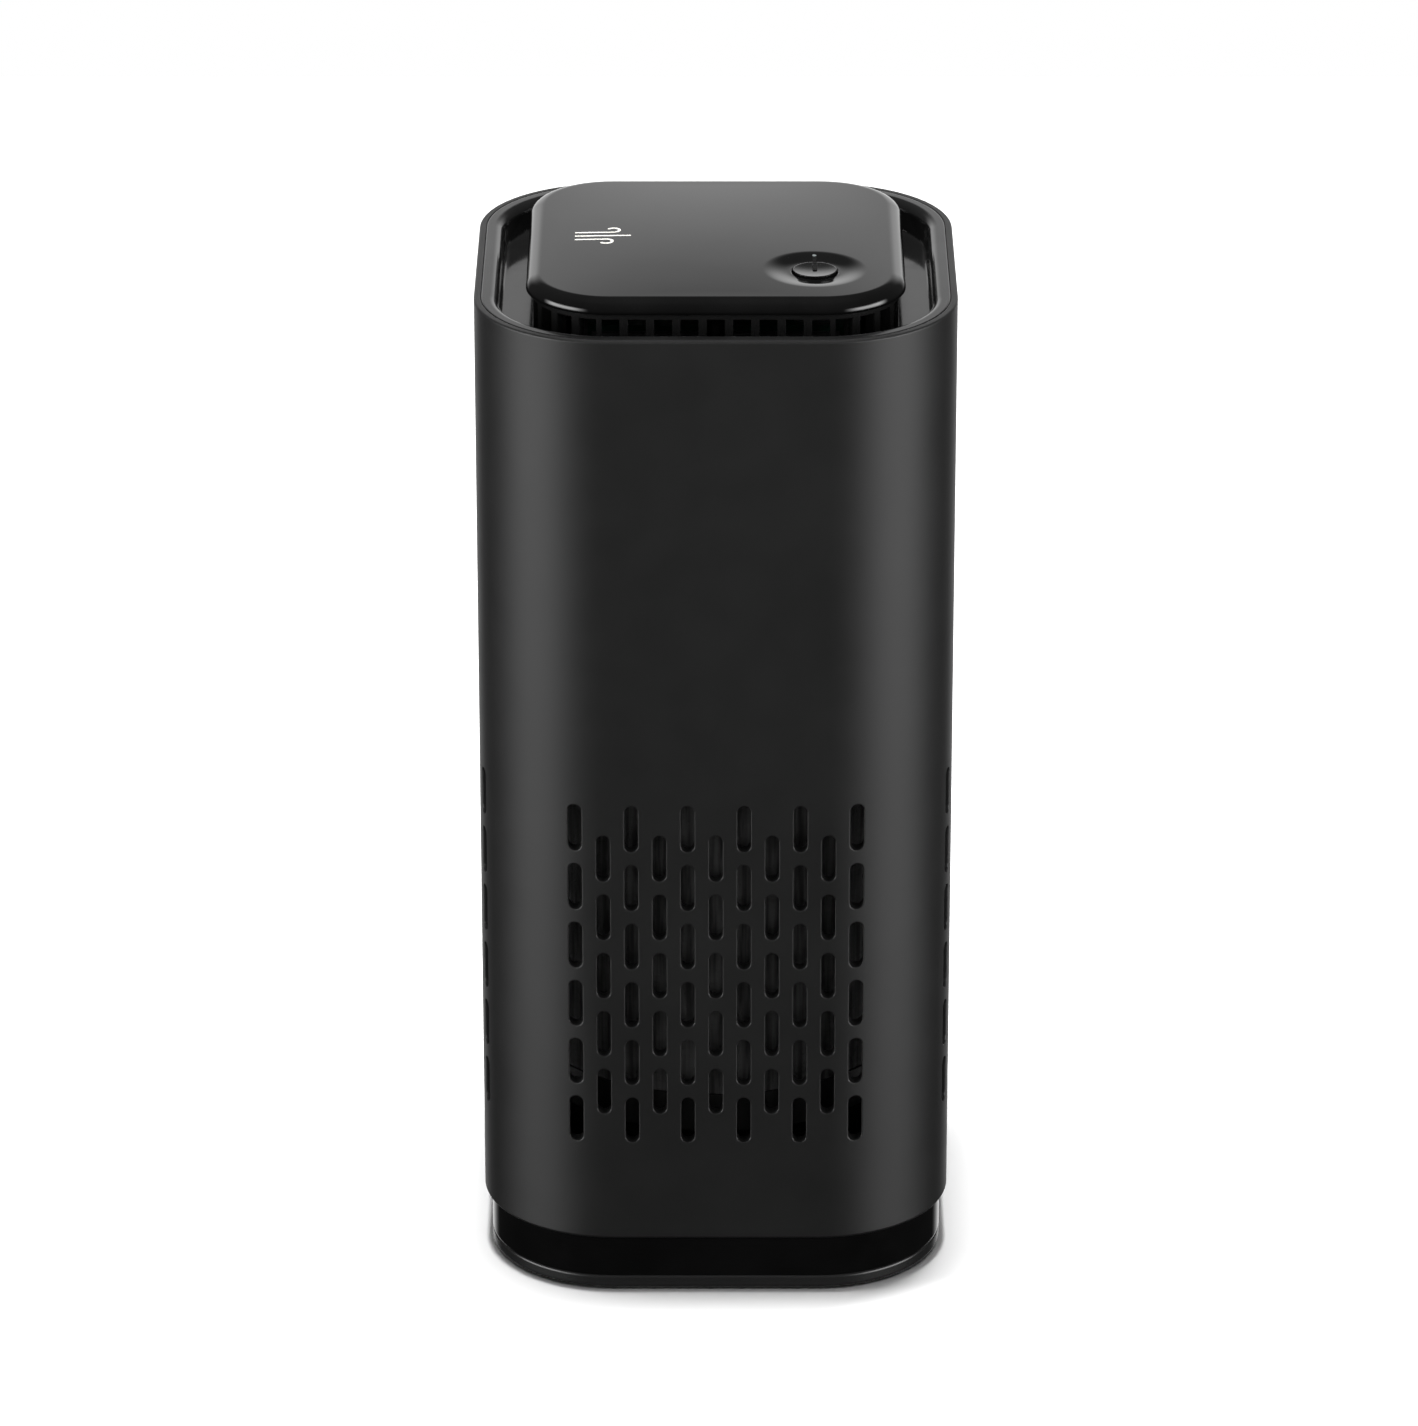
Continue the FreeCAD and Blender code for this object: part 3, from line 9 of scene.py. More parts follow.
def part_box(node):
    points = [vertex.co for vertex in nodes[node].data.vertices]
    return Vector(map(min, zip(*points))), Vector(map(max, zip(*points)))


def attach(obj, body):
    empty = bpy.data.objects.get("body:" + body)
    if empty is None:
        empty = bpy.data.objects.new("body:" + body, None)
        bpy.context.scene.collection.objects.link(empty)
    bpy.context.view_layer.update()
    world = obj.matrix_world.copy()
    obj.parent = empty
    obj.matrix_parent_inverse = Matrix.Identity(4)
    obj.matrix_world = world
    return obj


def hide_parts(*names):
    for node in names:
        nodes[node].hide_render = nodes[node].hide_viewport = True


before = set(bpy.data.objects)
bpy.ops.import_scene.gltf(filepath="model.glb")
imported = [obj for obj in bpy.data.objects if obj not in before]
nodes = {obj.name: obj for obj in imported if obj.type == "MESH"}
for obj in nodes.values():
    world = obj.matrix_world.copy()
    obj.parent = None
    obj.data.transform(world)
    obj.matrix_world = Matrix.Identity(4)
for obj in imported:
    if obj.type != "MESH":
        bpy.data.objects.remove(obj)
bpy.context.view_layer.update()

# A desk air purifier: a black square tower with a gloss cap over a ring of windows.
# The object's sizes are in millimetres and become metres through MM. The studio's are in metres.
MM = 0.001


def heights(node):
    """The lowest and highest point of a node, in millimetres."""
    low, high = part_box(node)
    return low.z / MM, high.z / MM


# Driving sizes. They follow the design, except for the small roundings and the cap's edge, crown,
# dish and light pipe, which are set to match the photo. Other places come from the frame's boxes.

# the housing's shell, and the trim ring that stands in its rebate
RIM_LIP = 1.0
TRIM_GAP = 0.05
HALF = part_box("trim_ring")[1].x / MM + RIM_LIP + TRIM_GAP
CORNER = 19.7
WALL = 2.0
RIM_DEPTH = 1.6
RIM_EDGE = 0.3
FOOT_EDGE = 0.5
INNER_EDGE = 0.1
CORNER_STEPS = 18
LEVELS = 17
CHANNEL = 3.6
TRIM_ROLL = 1.4
TRIM_EDGE = 0.15
TRIM_FILLET = 0.5
TRIM_FLOOR = 1.5

# the slots, the inlet's hole, and how far from a hole the plain wall's points begin
SLOT_WIDTH = 2.0
SLOT_LENGTH = 7.3
SLOT_PITCH = 4.13
SLOT_RISE = 9.43
SLOT_ROWS = 6
SLOT_FIRST = 28.7
HOLE_EDGE = 0.14
HOLE_EDGE_STEPS = 2
HOLE_ROOM = 0.5
SOCKET_HALF_TALL = 1.63
INLET_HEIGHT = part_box("power_socket")[0].z / MM + SOCKET_HALF_TALL
INLET_WIDTH = 9.4
INLET_TALL = 3.6
INLET_ROOM = 4.0

# the housing's inner bosses, the cap's posts, and what all upright tubes share
BOSS_PLACE = 25.5
BOSS_RADIUS = 3.6
BOSS_BORE = 1.2
BOSS_LENGTH = 14.0
POST_PLACE = 22.0
POST_RADIUS = 2.0
POST_BORE = 0.9
TUBE_EDGE = 0.2
TUBE_STEPS = 8

# the cap's face and edge; the grid is of points that carry the crown
PANEL_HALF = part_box("top_panel")[1].x / MM
PANEL_CORNER = 12.1
PANEL_EDGE = 2.2
PANEL_EDGE_STEPS = 10
PANEL_LOWER_EDGE = 0.15
PANEL_GRID = 2.0
PANEL_GRID_REACH = 27.0
PANEL_GRID_ROOM = 0.8
CROWN = 0.4

# the button, the dish round it, and the light pipe's end
BUTTON = [sum(corner[axis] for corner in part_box("power_button")) / 2 / MM for axis in (0, 1)]
BUTTON_HOLE = 3.35
DISH_FLOOR = 3.6
DISH_RIM = 7.6
DISH_DEPTH = 0.42
DISH_STEPS = 72
DISH_FLOOR_RINGS = 3
DISH_SIDE_RINGS = 13
PIPE_PLACE = 6.0
PIPE_RADIUS = 0.3
PIPE_RISE = 0.03
PIPE_STEPS = 24

# the power sign's bars, dark strips that paint the shade of its grooves, and the sign for moving air; its
# lines are (place, length, way of curling)
MARK_SINK = 0.03
BAR_WIDTH = 0.6
BAR_LENGTH = 2.6
BAR_DEPTH = 0.6
BAR_SINK = 0.12
REAR_BAR_START = 0.3
REAR_BAR_STEP = 0.4
REAR_BAR_STEPS = 6
REAR_BAR_THICK = 0.01
AIR_START = (-20.6, 0.3)
AIR_LINES = ((1.5, 5.6, 1), (0.0, 8.2, 0), (-1.5, 4.6, -1))
AIR_LINE_STEPS = 6
AIR_CURL = 0.9
AIR_CURL_STEPS = 14
AIR_CURL_ANGLE = math.radians(17)
AIR_WIDTH = 0.45
AIR_THICK = 0.015

# distances too small to matter, and the floor's half width: further ground would show as grey
MERGED = 1e-5
NO_LENGTH = 1e-6
FLOOR_REACH = 0.55


# ---------------------------------------------------------------- looks

def grey(level):
    """A neutral colour of the given linear level."""
    return (level, level, level, 1.0)


def add_node(tree, kind, **settings):
    """Adds a node to a tree and sets its properties."""
    node = tree.nodes.new(kind)
    for name, value in settings.items():
        setattr(node, name, value)
    return node


def add_maths(tree, operation, *values):
    """Adds a maths node whose inputs are numbers or other nodes' outputs."""
    node = add_node(tree, "ShaderNodeMath", operation=operation)
    for socket, value in zip(node.inputs, values):
        if isinstance(value, (int, float)):
            socket.default_value = value
        else:
            tree.links.new(value, socket)
    return node.outputs[0]


class Look:
    """A material of nodes: a principled shader, and patterns that drive its inputs."""

    def __init__(self, name, roughness, specular=0.5, metallic=0.0, edge=0.15, **sockets):
        self.material = bpy.data.materials.new(name)
        self.material.use_nodes = True
        self.tree = self.material.node_tree
        self.shader = self.tree.nodes["Principled BSDF"]
        self.set(Roughness=roughness, Metallic=metallic, Specular_IOR_Level=specular, **sockets)
        self.place = self.add("ShaderNodeTexCoord").outputs["Object"]
        softener = self.add("ShaderNodeBevel", samples=6)
        softener.inputs["Radius"].default_value = edge * MM
        self.normal = softener.outputs["Normal"]
        self.link(self.normal, "Normal")
        self.link(self.normal, "Coat Normal")

    def add(self, kind, **settings):
        """Adds a node to this tree."""
        return add_node(self.tree, kind, **settings)

    def set(self, **sockets):
        """Sets the shader's inputs; an underscore stands for a space in their names."""
        for name, value in sockets.items():
            self.shader.inputs[name.replace("_", " ")].default_value = value

    def link(self, output, name):
        """Drives one of the shader's inputs."""
        self.tree.links.new(output, self.shader.inputs[name])

    def stretched(self, size, stretch):
        """The place on the object in steps of size millimetres, stretched along each axis."""
        mapping = self.add("ShaderNodeMapping")
        self.tree.links.new(self.place, mapping.inputs["Vector"])
        mapping.inputs["Scale"].default_value = [1 / (size * MM * along) for along in stretch]
        return mapping.outputs["Vector"]

    def noise(self, size, detail=3.0, stretch=(1, 1, 1)):
        """Cloudy noise with features of about size millimetres."""
        texture = self.add("ShaderNodeTexNoise")
        texture.inputs["Scale"].default_value = 1.0
        texture.inputs["Detail"].default_value = detail
        self.tree.links.new(self.stretched(size, stretch), texture.inputs["Vector"])
        return texture.outputs["Fac"]

    def cells(self, size):
        """Grains of about size millimetres, by the distance from each grain's middle."""
        texture = self.add("ShaderNodeTexVoronoi")
        texture.inputs["Scale"].default_value = 1.0
        self.tree.links.new(self.stretched(size, (1, 1, 1)), texture.inputs["Vector"])
        return texture.outputs["Distance"]

    def maths(self, operation, *values):
        """Adds a maths node to this tree."""
        return add_maths(self.tree, operation, *values)

    def between(self, factor, low, high, lowest=0.3, highest=0.7):
        """Spreads a factor from lowest..highest over low..high."""
        node = self.add("ShaderNodeMapRange", interpolation_type="SMOOTHSTEP")
        self.tree.links.new(factor, node.inputs["Value"])
        for name, value in zip(("From Min", "From Max", "To Min", "To Max"),
                               (lowest, highest, low, high)):
            node.inputs[name].default_value = value
        return node.outputs["Result"]

    def colours(self, factor, dark, light):
        """Drives the base colour between two colours."""
        mix = self.add("ShaderNodeMix", data_type="RGBA")
        self.tree.links.new(factor, mix.inputs["Factor"])
        colour_in = [socket for socket in mix.inputs if socket.type == "RGBA"]
        colour_in[0].default_value = dark
        colour_in[1].default_value = light
        colour_out = next(socket for socket in mix.outputs if socket.type == "RGBA")
        self.link(colour_out, "Base Color")

    def roughness(self, factor, low, high):
        """Drives the roughness between two values."""
        self.link(self.between(factor, low, high), "Roughness")

    def bump(self, factor, height):
        """Raises the surface by the factor times height millimetres."""
        bump = self.add("ShaderNodeBump")
        bump.inputs["Strength"].default_value = 1.0
        bump.inputs["Distance"].default_value = height * MM
        self.tree.links.new(factor, bump.inputs["Height"])
        self.tree.links.new(self.normal, bump.inputs["Normal"])
        self.normal = bump.outputs["Normal"]
        self.link(self.normal, "Normal")


def plastic(name, level, roughness, grain=0.35, grain_height=0.004, edge=0.15, **sockets):
    """Moulded plastic: a fine grain, faint clouds in its tone and in its shine."""
    look = Look(name, roughness, edge=edge, **sockets)
    look.colours(look.between(look.noise(14.0, 4.0), 0.0, 1.0), grey(level * 0.92), grey(level * 1.08))
    look.roughness(look.noise(6.0, 5.0), roughness * 0.97, roughness * 1.03)
    look.bump(look.noise(grain, 2.0), grain_height)
    return look


def gloss(name, level, roughness, specular=0.5, edge=0.2):
    """Polished black plastic with a slight moulded ripple and very fine dust marks."""
    look = Look(name, roughness, specular=specular, edge=edge)
    look.colours(look.between(look.noise(9.0, 4.0), 0.0, 1.0), grey(level * 0.8), grey(level * 1.2))
    look.roughness(look.noise(3.0, 6.0), roughness * 0.8, roughness * 1.3)
    look.bump(look.noise(16.0, 1.0), 0.01)
    return look


def weave():
    """Fine upright cords of the pre-filter's mesh, with crossing threads."""
    look = Look("filter_weave", 0.62)
    look.set(Specular_IOR_Level=0.15)
    cords = look.noise(0.9, 2.0, (1, 1, 14))
    threads = look.noise(0.5, 2.0, (5, 5, 0.6))
    both = look.maths("MULTIPLY", cords, threads)
    look.colours(look.between(cords, 0.0, 1.0), grey(0.03), grey(0.1))
    look.bump(both, 0.12)
    return look


def fibre():
    """Pale pleated paper with soft felted strands."""
    look = Look("filter_fibre", 0.85)
    look.set(Sheen_Weight=0.3, Subsurface_Weight=0.05)
    look.colours(look.between(look.noise(1.5, 6.0), 0.0, 1.0), (0.62, 0.61, 0.57, 1), (0.82, 0.82, 0.80, 1))
    look.bump(look.noise(0.4, 6.0), 0.05)
    return look


def granules():
    """Dull black carbon grains, painted darker towards their edges as shade in the gaps between them."""
    look = Look("carbon", 0.6)
    grains = look.cells(1.3)
    # painted shade: each grain is lighter at its raised middle and darker at its sunken edge
    look.colours(look.between(grains, 0.0, 1.0), grey(0.02), grey(0.006))
    look.bump(look.maths("SUBTRACT", 1.0, grains), 0.35)
    return look


def soft_foam():
    """Closed-cell foam whose sunken pores are painted dark as shade in the hollows."""
    look = Look("foam", 0.95)
    pores = look.cells(0.7)
    # painted shade: the sunken middle of each pore is darker
    look.colours(look.between(pores, 0.0, 1.0), grey(0.012), grey(0.05))
    look.bump(pores, 0.15)
    return look


def metal(name, dark, light, roughness, size=0.6, stretch=(1, 1, 1)):
    """Metal with uneven tone and shine in patches of about size millimetres."""
    look = Look(name, roughness, metallic=1.0, edge=0.08)
    look.colours(look.between(look.noise(size, 5.0, stretch), 0.0, 1.0), dark, light)
    look.roughness(look.noise(size * 2, 4.0, stretch), roughness * 0.8, roughness * 1.3)
    look.bump(look.noise(size / 2, 3.0, stretch), 0.004)
    return look


def circuit():
    """A lacquered circuit board, of a green so dark that it is nearly black."""
    look = Look("circuit", 0.35, edge=0.1)
    look.set(Coat_Weight=0.4, Coat_Roughness=0.2)
    tracks = look.cells(2.2)
    look.colours(look.between(tracks, 0.0, 1.0, 0.1, 0.5), (0.002, 0.010, 0.006, 1), (0.001, 0.005, 0.003, 1))
    look.bump(tracks, 0.02)
    return look


def tinted(name, dark, light, roughness):
    """Plain moulded plastic whose tone wanders between two colours."""
    look = Look(name, roughness)
    look.colours(look.between(look.noise(2.5, 4.0), 0.0, 1.0), dark, light)
    look.roughness(look.noise(1.5, 4.0), roughness * 0.9, roughness * 1.1)
    look.bump(look.noise(0.5, 3.0), 0.01)
    return look


def make_looks():
    """One material for each of the record's slots."""
    looks = {
        "housing_satin": plastic("housing_satin", 0.0077, 0.43, 0.28, 0.0035, edge=0.2),
        "trim_gloss": gloss("trim_gloss", 0.005, 0.10, edge=0.3),
        "vent_plastic": plastic("vent_plastic", 0.008, 0.2, edge=0.25),
        "cap_gloss": gloss("cap_gloss", 0.002, 0.045, edge=0.3),
        "button_plastic": plastic("button_plastic", 0.004, 0.14, edge=0.2),
        "base_gloss": gloss("base_gloss", 0.0025, 0.08, edge=0.4),
        "lip_plastic": plastic("lip_plastic", 0.012, 0.25, edge=0.2),
        "inner_black": plastic("inner_black", 0.010, 0.5, 0.5, 0.008),
        "fan_plastic": plastic("fan_plastic", 0.011, 0.38, 0.4, 0.006),
        "rubber": plastic("rubber", 0.005, 0.8, 0.3, 0.01, specular=0.15),
        "filter_weave": weave(),
        "filter_fibre": fibre(),
        "carbon": granules(),
        "foam": soft_foam(),
        "steel": metal("steel", grey(0.5), grey(0.62), 0.28),
        "magnet": metal("magnet", grey(0.05), grey(0.09), 0.5),
        "copper": metal("copper", (0.55, 0.2, 0.08, 1), (0.75, 0.32, 0.13, 1), 0.3, 0.25, (1, 1, 0.3)),
        "circuit": circuit(),
        "component": tinted("component", grey(0.012), grey(0.02), 0.4),
        "plug_white": tinted("plug_white", (0.42, 0.41, 0.38, 1), (0.5, 0.49, 0.46, 1), 0.45),
        "led": tinted("led", (0.07, 0.08, 0.08, 1), (0.10, 0.11, 0.11, 1), 0.2),
        "lead_cover": tinted("lead_cover", grey(0.012), grey(0.02), 0.45),
    }
    for node in nodes.values():
        look = looks[node.material_slots[0].material.name]
        node.material_slots[0].material = look.material
    return looks


# ---------------------------------------------------------------- mesh building

class Sheets:
    """Faces gathered as corners, each a place and a normal in millimetres, and made one mesh."""

    def __init__(self):
        self.faces = []

    def face(self, corners):
        """Adds a face of (place, normal) pairs and turns it to agree with its normals."""
        points = [np.asarray(place, float) for place, _ in corners]
        normals = [np.asarray(normal, float) for _, normal in corners]
        across = np.cross(points[1] - points[0], points[2] - points[1])
        if len(points) == 4:
            across = np.cross(points[2] - points[0], points[3] - points[1])
        if across @ sum(normals) < 0:
            points.reverse()
            normals.reverse()
        self.faces.append((points, normals))

    def strip(self, first, second, closed=True):
        """Joins two rows of corners with a band of four-sided faces."""
        count = len(first)
        for index in range(count if closed else count - 1):
            after = (index + 1) % count
            self.face([first[index], first[after], second[after], second[index]])

    def fan(self, middle, row):
        """Closes a ring of corners with triangles that meet at a middle corner."""
        for index, corner in enumerate(row):
            self.face([middle, corner, row[(index + 1) % len(row)]])

    def build(self, name, body, slot, *replaced):
        """Makes the mesh, welds its points and hands it to the frame."""
        places = {}
        faces = []
        normals = []
        for points, directions in self.faces:
            face = []
            kept = []
            for point, direction in zip(points, directions):
                key = tuple(np.round(point, 4))
                number = places.setdefault(key, len(places))
                if number not in face:
                    face.append(number)
                    kept.append(direction / np.linalg.norm(direction))
            if len(face) > 2:
                faces.append(face)
                normals.extend(kept)
        mesh = bpy.data.meshes.new(name)
        mesh.from_pydata([tuple(np.array(place) * MM) for place in places], [], faces)
        mesh.shade_smooth()
        mesh.normals_split_custom_set([tuple(normal) for normal in normals])
        mesh.materials.append(looks[slot].material)
        piece = bpy.data.objects.new(name, mesh)
        bpy.context.scene.collection.objects.link(piece)
        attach(piece, body)
        if replaced:
            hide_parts(*replaced)
        return piece


def square_ring(half, corner, segments=CORNER_STEPS):
    """Places and outward directions round a square with round corners, anticlockwise."""
    ring = []
    reach = half - corner
    for quarter in range(4):
        middle = np.array(turned((reach, reach), quarter))
        for step in range(segments + 1):
            angle = math.pi / 2 * (quarter + step / segments)
            direction = np.array((math.cos(angle), math.sin(angle)))
            ring.append((middle + corner * direction, direction))
    return ring


def turned(point, quarters):
    """A point turned about the axis by a number of right angles."""
    x, y = point
    for _ in range(quarters % 4):
        x, y = -y, x
    return (x, y)


def rounded_profile(points, closed=True, steps=5):
    """A profile of (inset, height, radius) corners as places and normals, with round corners.

    The profile runs with the solid on its right, and its normals point to its left."""
    made = []
    count = len(points)
    for index, (inset, height, radius) in enumerate(points):
        corner = np.array((inset, height), float)
        before = np.array(points[index - 1][:2], float)
        after = np.array(points[(index + 1) % count][:2], float)
        first = not closed and index == 0
        last = not closed and index == count - 1
        back = after - corner if first else corner - before
        ahead = corner - before if last else after - corner
        back /= np.linalg.norm(back)
        ahead /= np.linalg.norm(ahead)
        left_back = np.array((-back[1], back[0]))
        left_ahead = np.array((-ahead[1], ahead[0]))
        if first or last:
            made.append((corner, left_back))
        elif radius <= 0:
            made.append((corner, left_back))
            made.append((corner, left_ahead))
        else:
            turn = math.atan2(back[0] * ahead[1] - back[1] * ahead[0], back @ ahead)
            side = 1 if turn > 0 else -1
            trim = radius * abs(math.tan(turn / 2))
            centre = corner - back * trim + left_back * radius * side
            for step in range(steps + 1):
                angle = turn * step / steps
                cosine, sine = math.cos(angle), math.sin(angle)
                spin = np.array(((cosine, -sine), (sine, cosine)))
                normal = spin @ left_back
                made.append((centre - normal * radius * side, normal))
    return made


def sweep(sheets, half, corner, profile, closed=True, centre=(0, 0), segments=CORNER_STEPS):
    """Sweeps a profile of (inset, height) places round a square of that half width."""
    rows = []
    for (inset, height), (inward, up) in profile:
        row = []
        for place, direction in square_ring(half - inset, max(corner - inset, 0.0), segments):
            place = place + np.array(centre)
            row.append(((*place, height), (*(-direction * inward), up)))
        rows.append(row)
    pairs = list(zip(rows, rows[1:]))
    if closed:
        pairs.append((rows[-1], rows[0]))
    for first, second in pairs:
        if np.linalg.norm(np.subtract(first[0][0], second[0][0])) > NO_LENGTH:
            sheets.strip(first, second)


def tube(sheets, centre, outer, inner, low, high):
    """An upright round tube with a soft lower edge."""
    wall = outer - inner
    profile = rounded_profile([(0, low, TUBE_EDGE), (0, high, 0), (wall, high, 0), (wall, low, 0)])
    sweep(sheets, outer, outer, profile, centre=centre, segments=TUBE_STEPS)


# ---------------------------------------------------------------- housing

class Wall:
    """One side of the housing, unrolled from the middle of one corner to the next."""

    def __init__(self, half, corner, thick):
        self.flat = half - corner
        self.corner = corner
        self.thick = thick

    def along(self, x, depth=0.0):
        """The unrolled place of a point whose distance from the side's middle line is x."""
        over = abs(x) - self.flat
        if over <= 0:
            return x
        return math.copysign(self.flat + self.corner * math.asin(over / (self.corner - depth)), x)

    def place(self, run, depth=0.0):
        """The point and the outward direction at an unrolled place, for the front side."""
        angle = max(abs(run) - self.flat, 0.0) / self.corner
        side = math.copysign(1.0, run)
        direction = np.array((side * math.sin(angle), -math.cos(angle)))
        base = np.array((math.copysign(min(abs(run), self.flat), run), -self.flat))
        return base + direction * (self.corner - depth), direction


def long_hole(x, height, wide, tall, steps=8):
    """The outline of a hole with round ends, as (x, height, outward direction)."""
    radius = min(wide, tall) / 2
    outline = []
    for end in (0, 1):
        for step in range(steps + 1):
            angle = math.pi * (end + step / steps)
            if wide > tall:
                angle -= math.pi / 2
            out = (math.cos(angle), math.sin(angle))
            lengthwise = (1 - 2 * end) * (max(wide, tall) / 2 - radius)
            shift = (lengthwise, 0) if wide > tall else (0, lengthwise)
            outline.append((x + shift[0] + radius * out[0], height + shift[1] + radius * out[1], out))
    return outline


def slot_outlines():
    """The slots of one side: six wide-set columns, and five shorter ones between them."""
    outlines = []
    for column in range(-5, 6):
        outer = column % 2 == 1
        rows = SLOT_ROWS if outer else SLOT_ROWS - 1
        first = SLOT_FIRST if outer else SLOT_FIRST + SLOT_RISE / 2
        for row in range(rows):
            height = first + row * SLOT_RISE
            outlines.append(long_hole(column * SLOT_PITCH, height, SLOT_WIDTH, SLOT_LENGTH))
    return outlines


def loop_edges(first, count):
    """The edges of a closed ring of count points, the first of which has number first."""
    return [(first + index, first + (index + 1) % count) for index in range(count)]


def triangles(points, edges):
    """Triangles between points, as the points' numbers, that keep the given edges."""
    found = delaunay_2d_cdt([Vector(point) for point in points], edges, [], 0, MERGED, True)
    origin = [numbers[0] for numbers in found[3]]
    return [[origin[number] for number in triangle] for triangle in found[2]]


def hole_room(outline):
    """The middle of a hole and how far from it, each way, the plain wall begins."""
    across = [place[0] for place in outline]
    upward = [place[1] for place in outline]
    return (np.mean(across), np.mean(upward),
            (max(across) - min(across)) / 2 + HOLE_ROOM, (max(upward) - min(upward)) / 2 + HOLE_ROOM)


def plain_wall_points(wall, outlines, low, high):
    """The border of one unrolled side between two heights, and the points inside it clear of holes."""
    arcs = [wall.flat + wall.corner * math.pi / 2 * step / CORNER_STEPS
            for step in range(CORNER_STEPS // 2 + 1)]
    columns = [-run for run in reversed(arcs)] + arcs
    levels = [low + (high - low) * step / LEVELS for step in range(LEVELS + 1)]
    border = [(run, low) for run in columns]
    border += [(columns[-1], level) for level in levels[1:-1]]
    border += [(run, high) for run in reversed(columns)]
    border += [(columns[0], level) for level in reversed(levels[1:-1])]
    rooms = [hole_room(outline) for outline in outlines]
    inside = []
    for run in columns[1:-1]:
        x = wall.place(run)[0][0]
        for level in levels[1:-1]:
            if not any(abs(x - room[0]) < room[2] and abs(level - room[1]) < room[3] for room in rooms):
                inside.append((run, level))
    return border, inside


def wall_side(sheets, wall, outlines, low, high, quarter):
    """The outer and inner skin of one side between two heights, with holes through both."""
    points = []
    edges = []
    owner = {}
    for number, outline in enumerate(outlines):
        first = len(points)
        points += [(wall.along(x + out[0] * HOLE_EDGE), height + out[1] * HOLE_EDGE)
                   for x, height, out in outline]
        edges += loop_edges(first, len(outline))
        owner.update({index: number for index in range(first, len(points))})
    rims = [place for outline in outlines for place in outline]
    border, inside = plain_wall_points(wall, outlines, low, high)
    edges += loop_edges(len(points), len(border))
    points += border + inside

    def outer(index):
        run, level = points[index]
        return around(*wall.place(run), level, 0.0, 1.0, quarter)

    def inner(index):
        run, level = points[index]
        if index < len(rims):
            x, level, _ = rims[index]
            run = wall.along(x, wall.thick)
        return around(*wall.place(run, wall.thick), level, 0.0, -1.0, quarter)

    for triangle in triangles(points, edges):
        owners = {owner.get(index, -1) for index in triangle}
        if len(owners) == 1 and -1 not in owners:
            continue
        sheets.face([outer(index) for index in triangle])
        sheets.face([inner(index) for index in triangle])
    for outline in outlines:
        hole_sides(sheets, wall, outline, quarter)


def around(spot, direction, level, up, outward, quarter):
    """A corner's place and normal, turned to its side; outward is -1 for the inner skin."""
    place = (*turned(spot, quarter), level)
    normal = (*turned(direction * outward, quarter), up)
    return place, normal


def hole_sides(sheets, wall, outline, quarter):
    """The round edge of a hole and its side, straight through the wall."""
    rows = []
    for step in range(HOLE_EDGE_STEPS + 1):
        angle = math.pi / 2 * step / HOLE_EDGE_STEPS
        grown = HOLE_EDGE * (1 - math.sin(angle))
        depth = HOLE_EDGE * (1 - math.cos(angle))
        row = []
        for x, height, out in outline:
            spot, direction = wall.place(wall.along(x + out[0] * grown, depth), depth)
            normal = direction * math.cos(angle) - np.array((out[0], 0)) * math.sin(angle)
            upward = -out[1] * math.sin(angle)
            row.append(around(spot, normal, height + out[1] * grown, upward, 1.0, quarter))
        rows.append(row)
    row = []
    for x, height, out in outline:
        spot, _ = wall.place(wall.along(x, wall.thick), wall.thick)
        row.append(around(spot, -np.array((out[0], 0)), height, -out[1], 1.0, quarter))
    rows.append(row)
    for first, second in zip(rows, rows[1:]):
        sheets.strip(first, second)


def make_housing():
    """The satin shell: swept ends, and between them four sides with their slots."""
    low, high = heights("housing")
    sheets = Sheets()
    wall = Wall(HALF, CORNER, WALL)
    outlines = slot_outlines()
    field_low = SLOT_FIRST - SLOT_LENGTH
    field_high = INLET_HEIGHT + INLET_ROOM
    for quarter in range(4):
        holes = list(outlines)
        if quarter == 2:
            holes.append(long_hole(0.0, INLET_HEIGHT, INLET_WIDTH, INLET_TALL))
        wall_side(sheets, wall, holes, field_low, field_high, quarter)
    foot = rounded_profile([
        (WALL, field_low, 0), (WALL, low, INNER_EDGE), (0, low, FOOT_EDGE), (0, field_low, 0)], closed=False)
    rim = rounded_profile([
        (0, field_high, 0), (0, high, RIM_EDGE), (RIM_LIP, high, INNER_EDGE), (RIM_LIP, high - RIM_DEPTH, 0),
        (WALL, high - RIM_DEPTH, 0), (WALL, field_high, 0)], closed=False)
    sweep(sheets, HALF, CORNER, foot, closed=False)
    sweep(sheets, HALF, CORNER, rim, closed=False)
    plate_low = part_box("fan_plate")[0].z / MM
    for x in (-BOSS_PLACE, BOSS_PLACE):
        for y in (-BOSS_PLACE, BOSS_PLACE):
            tube(sheets, (x, y), BOSS_RADIUS, BOSS_BORE, plate_low - BOSS_LENGTH, plate_low)
    sheets.build("housing_shell", "housing", "housing_satin", "housing")


# ---------------------------------------------------------------- trim and cap

def make_trim():
    """The gloss ring in the housing's rebate, which rolls down into the air channel."""
    low, high = heights("trim_ring")
    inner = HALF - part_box("vent_ring")[1].x / MM
    floor = low + TRIM_FLOOR
    outer = RIM_LIP + TRIM_GAP
    lower = WALL + TRIM_GAP
    profile = rounded_profile([
        (outer, high - RIM_DEPTH, 0), (outer, high, TRIM_EDGE), (CHANNEL, high, TRIM_ROLL),
        (CHANNEL, floor, TRIM_FILLET), (inner, floor, 0), (inner, low, 0), (lower, low, 0),
        (lower, high - RIM_DEPTH, 0)], steps=7)
    sheets = Sheets()
    sweep(sheets, HALF, CORNER, profile)
    sheets.build("trim_channel", "housing", "trim_gloss", "trim_ring")


def dish_drop(radius):
    """How far the cap's face lies below its level at a distance from the button's axis."""
    share = min(max((radius - DISH_FLOOR) / (DISH_RIM - DISH_FLOOR), 0.0), 1.0)
    return DISH_DEPTH * (1 - share * share * (3 - 2 * share))


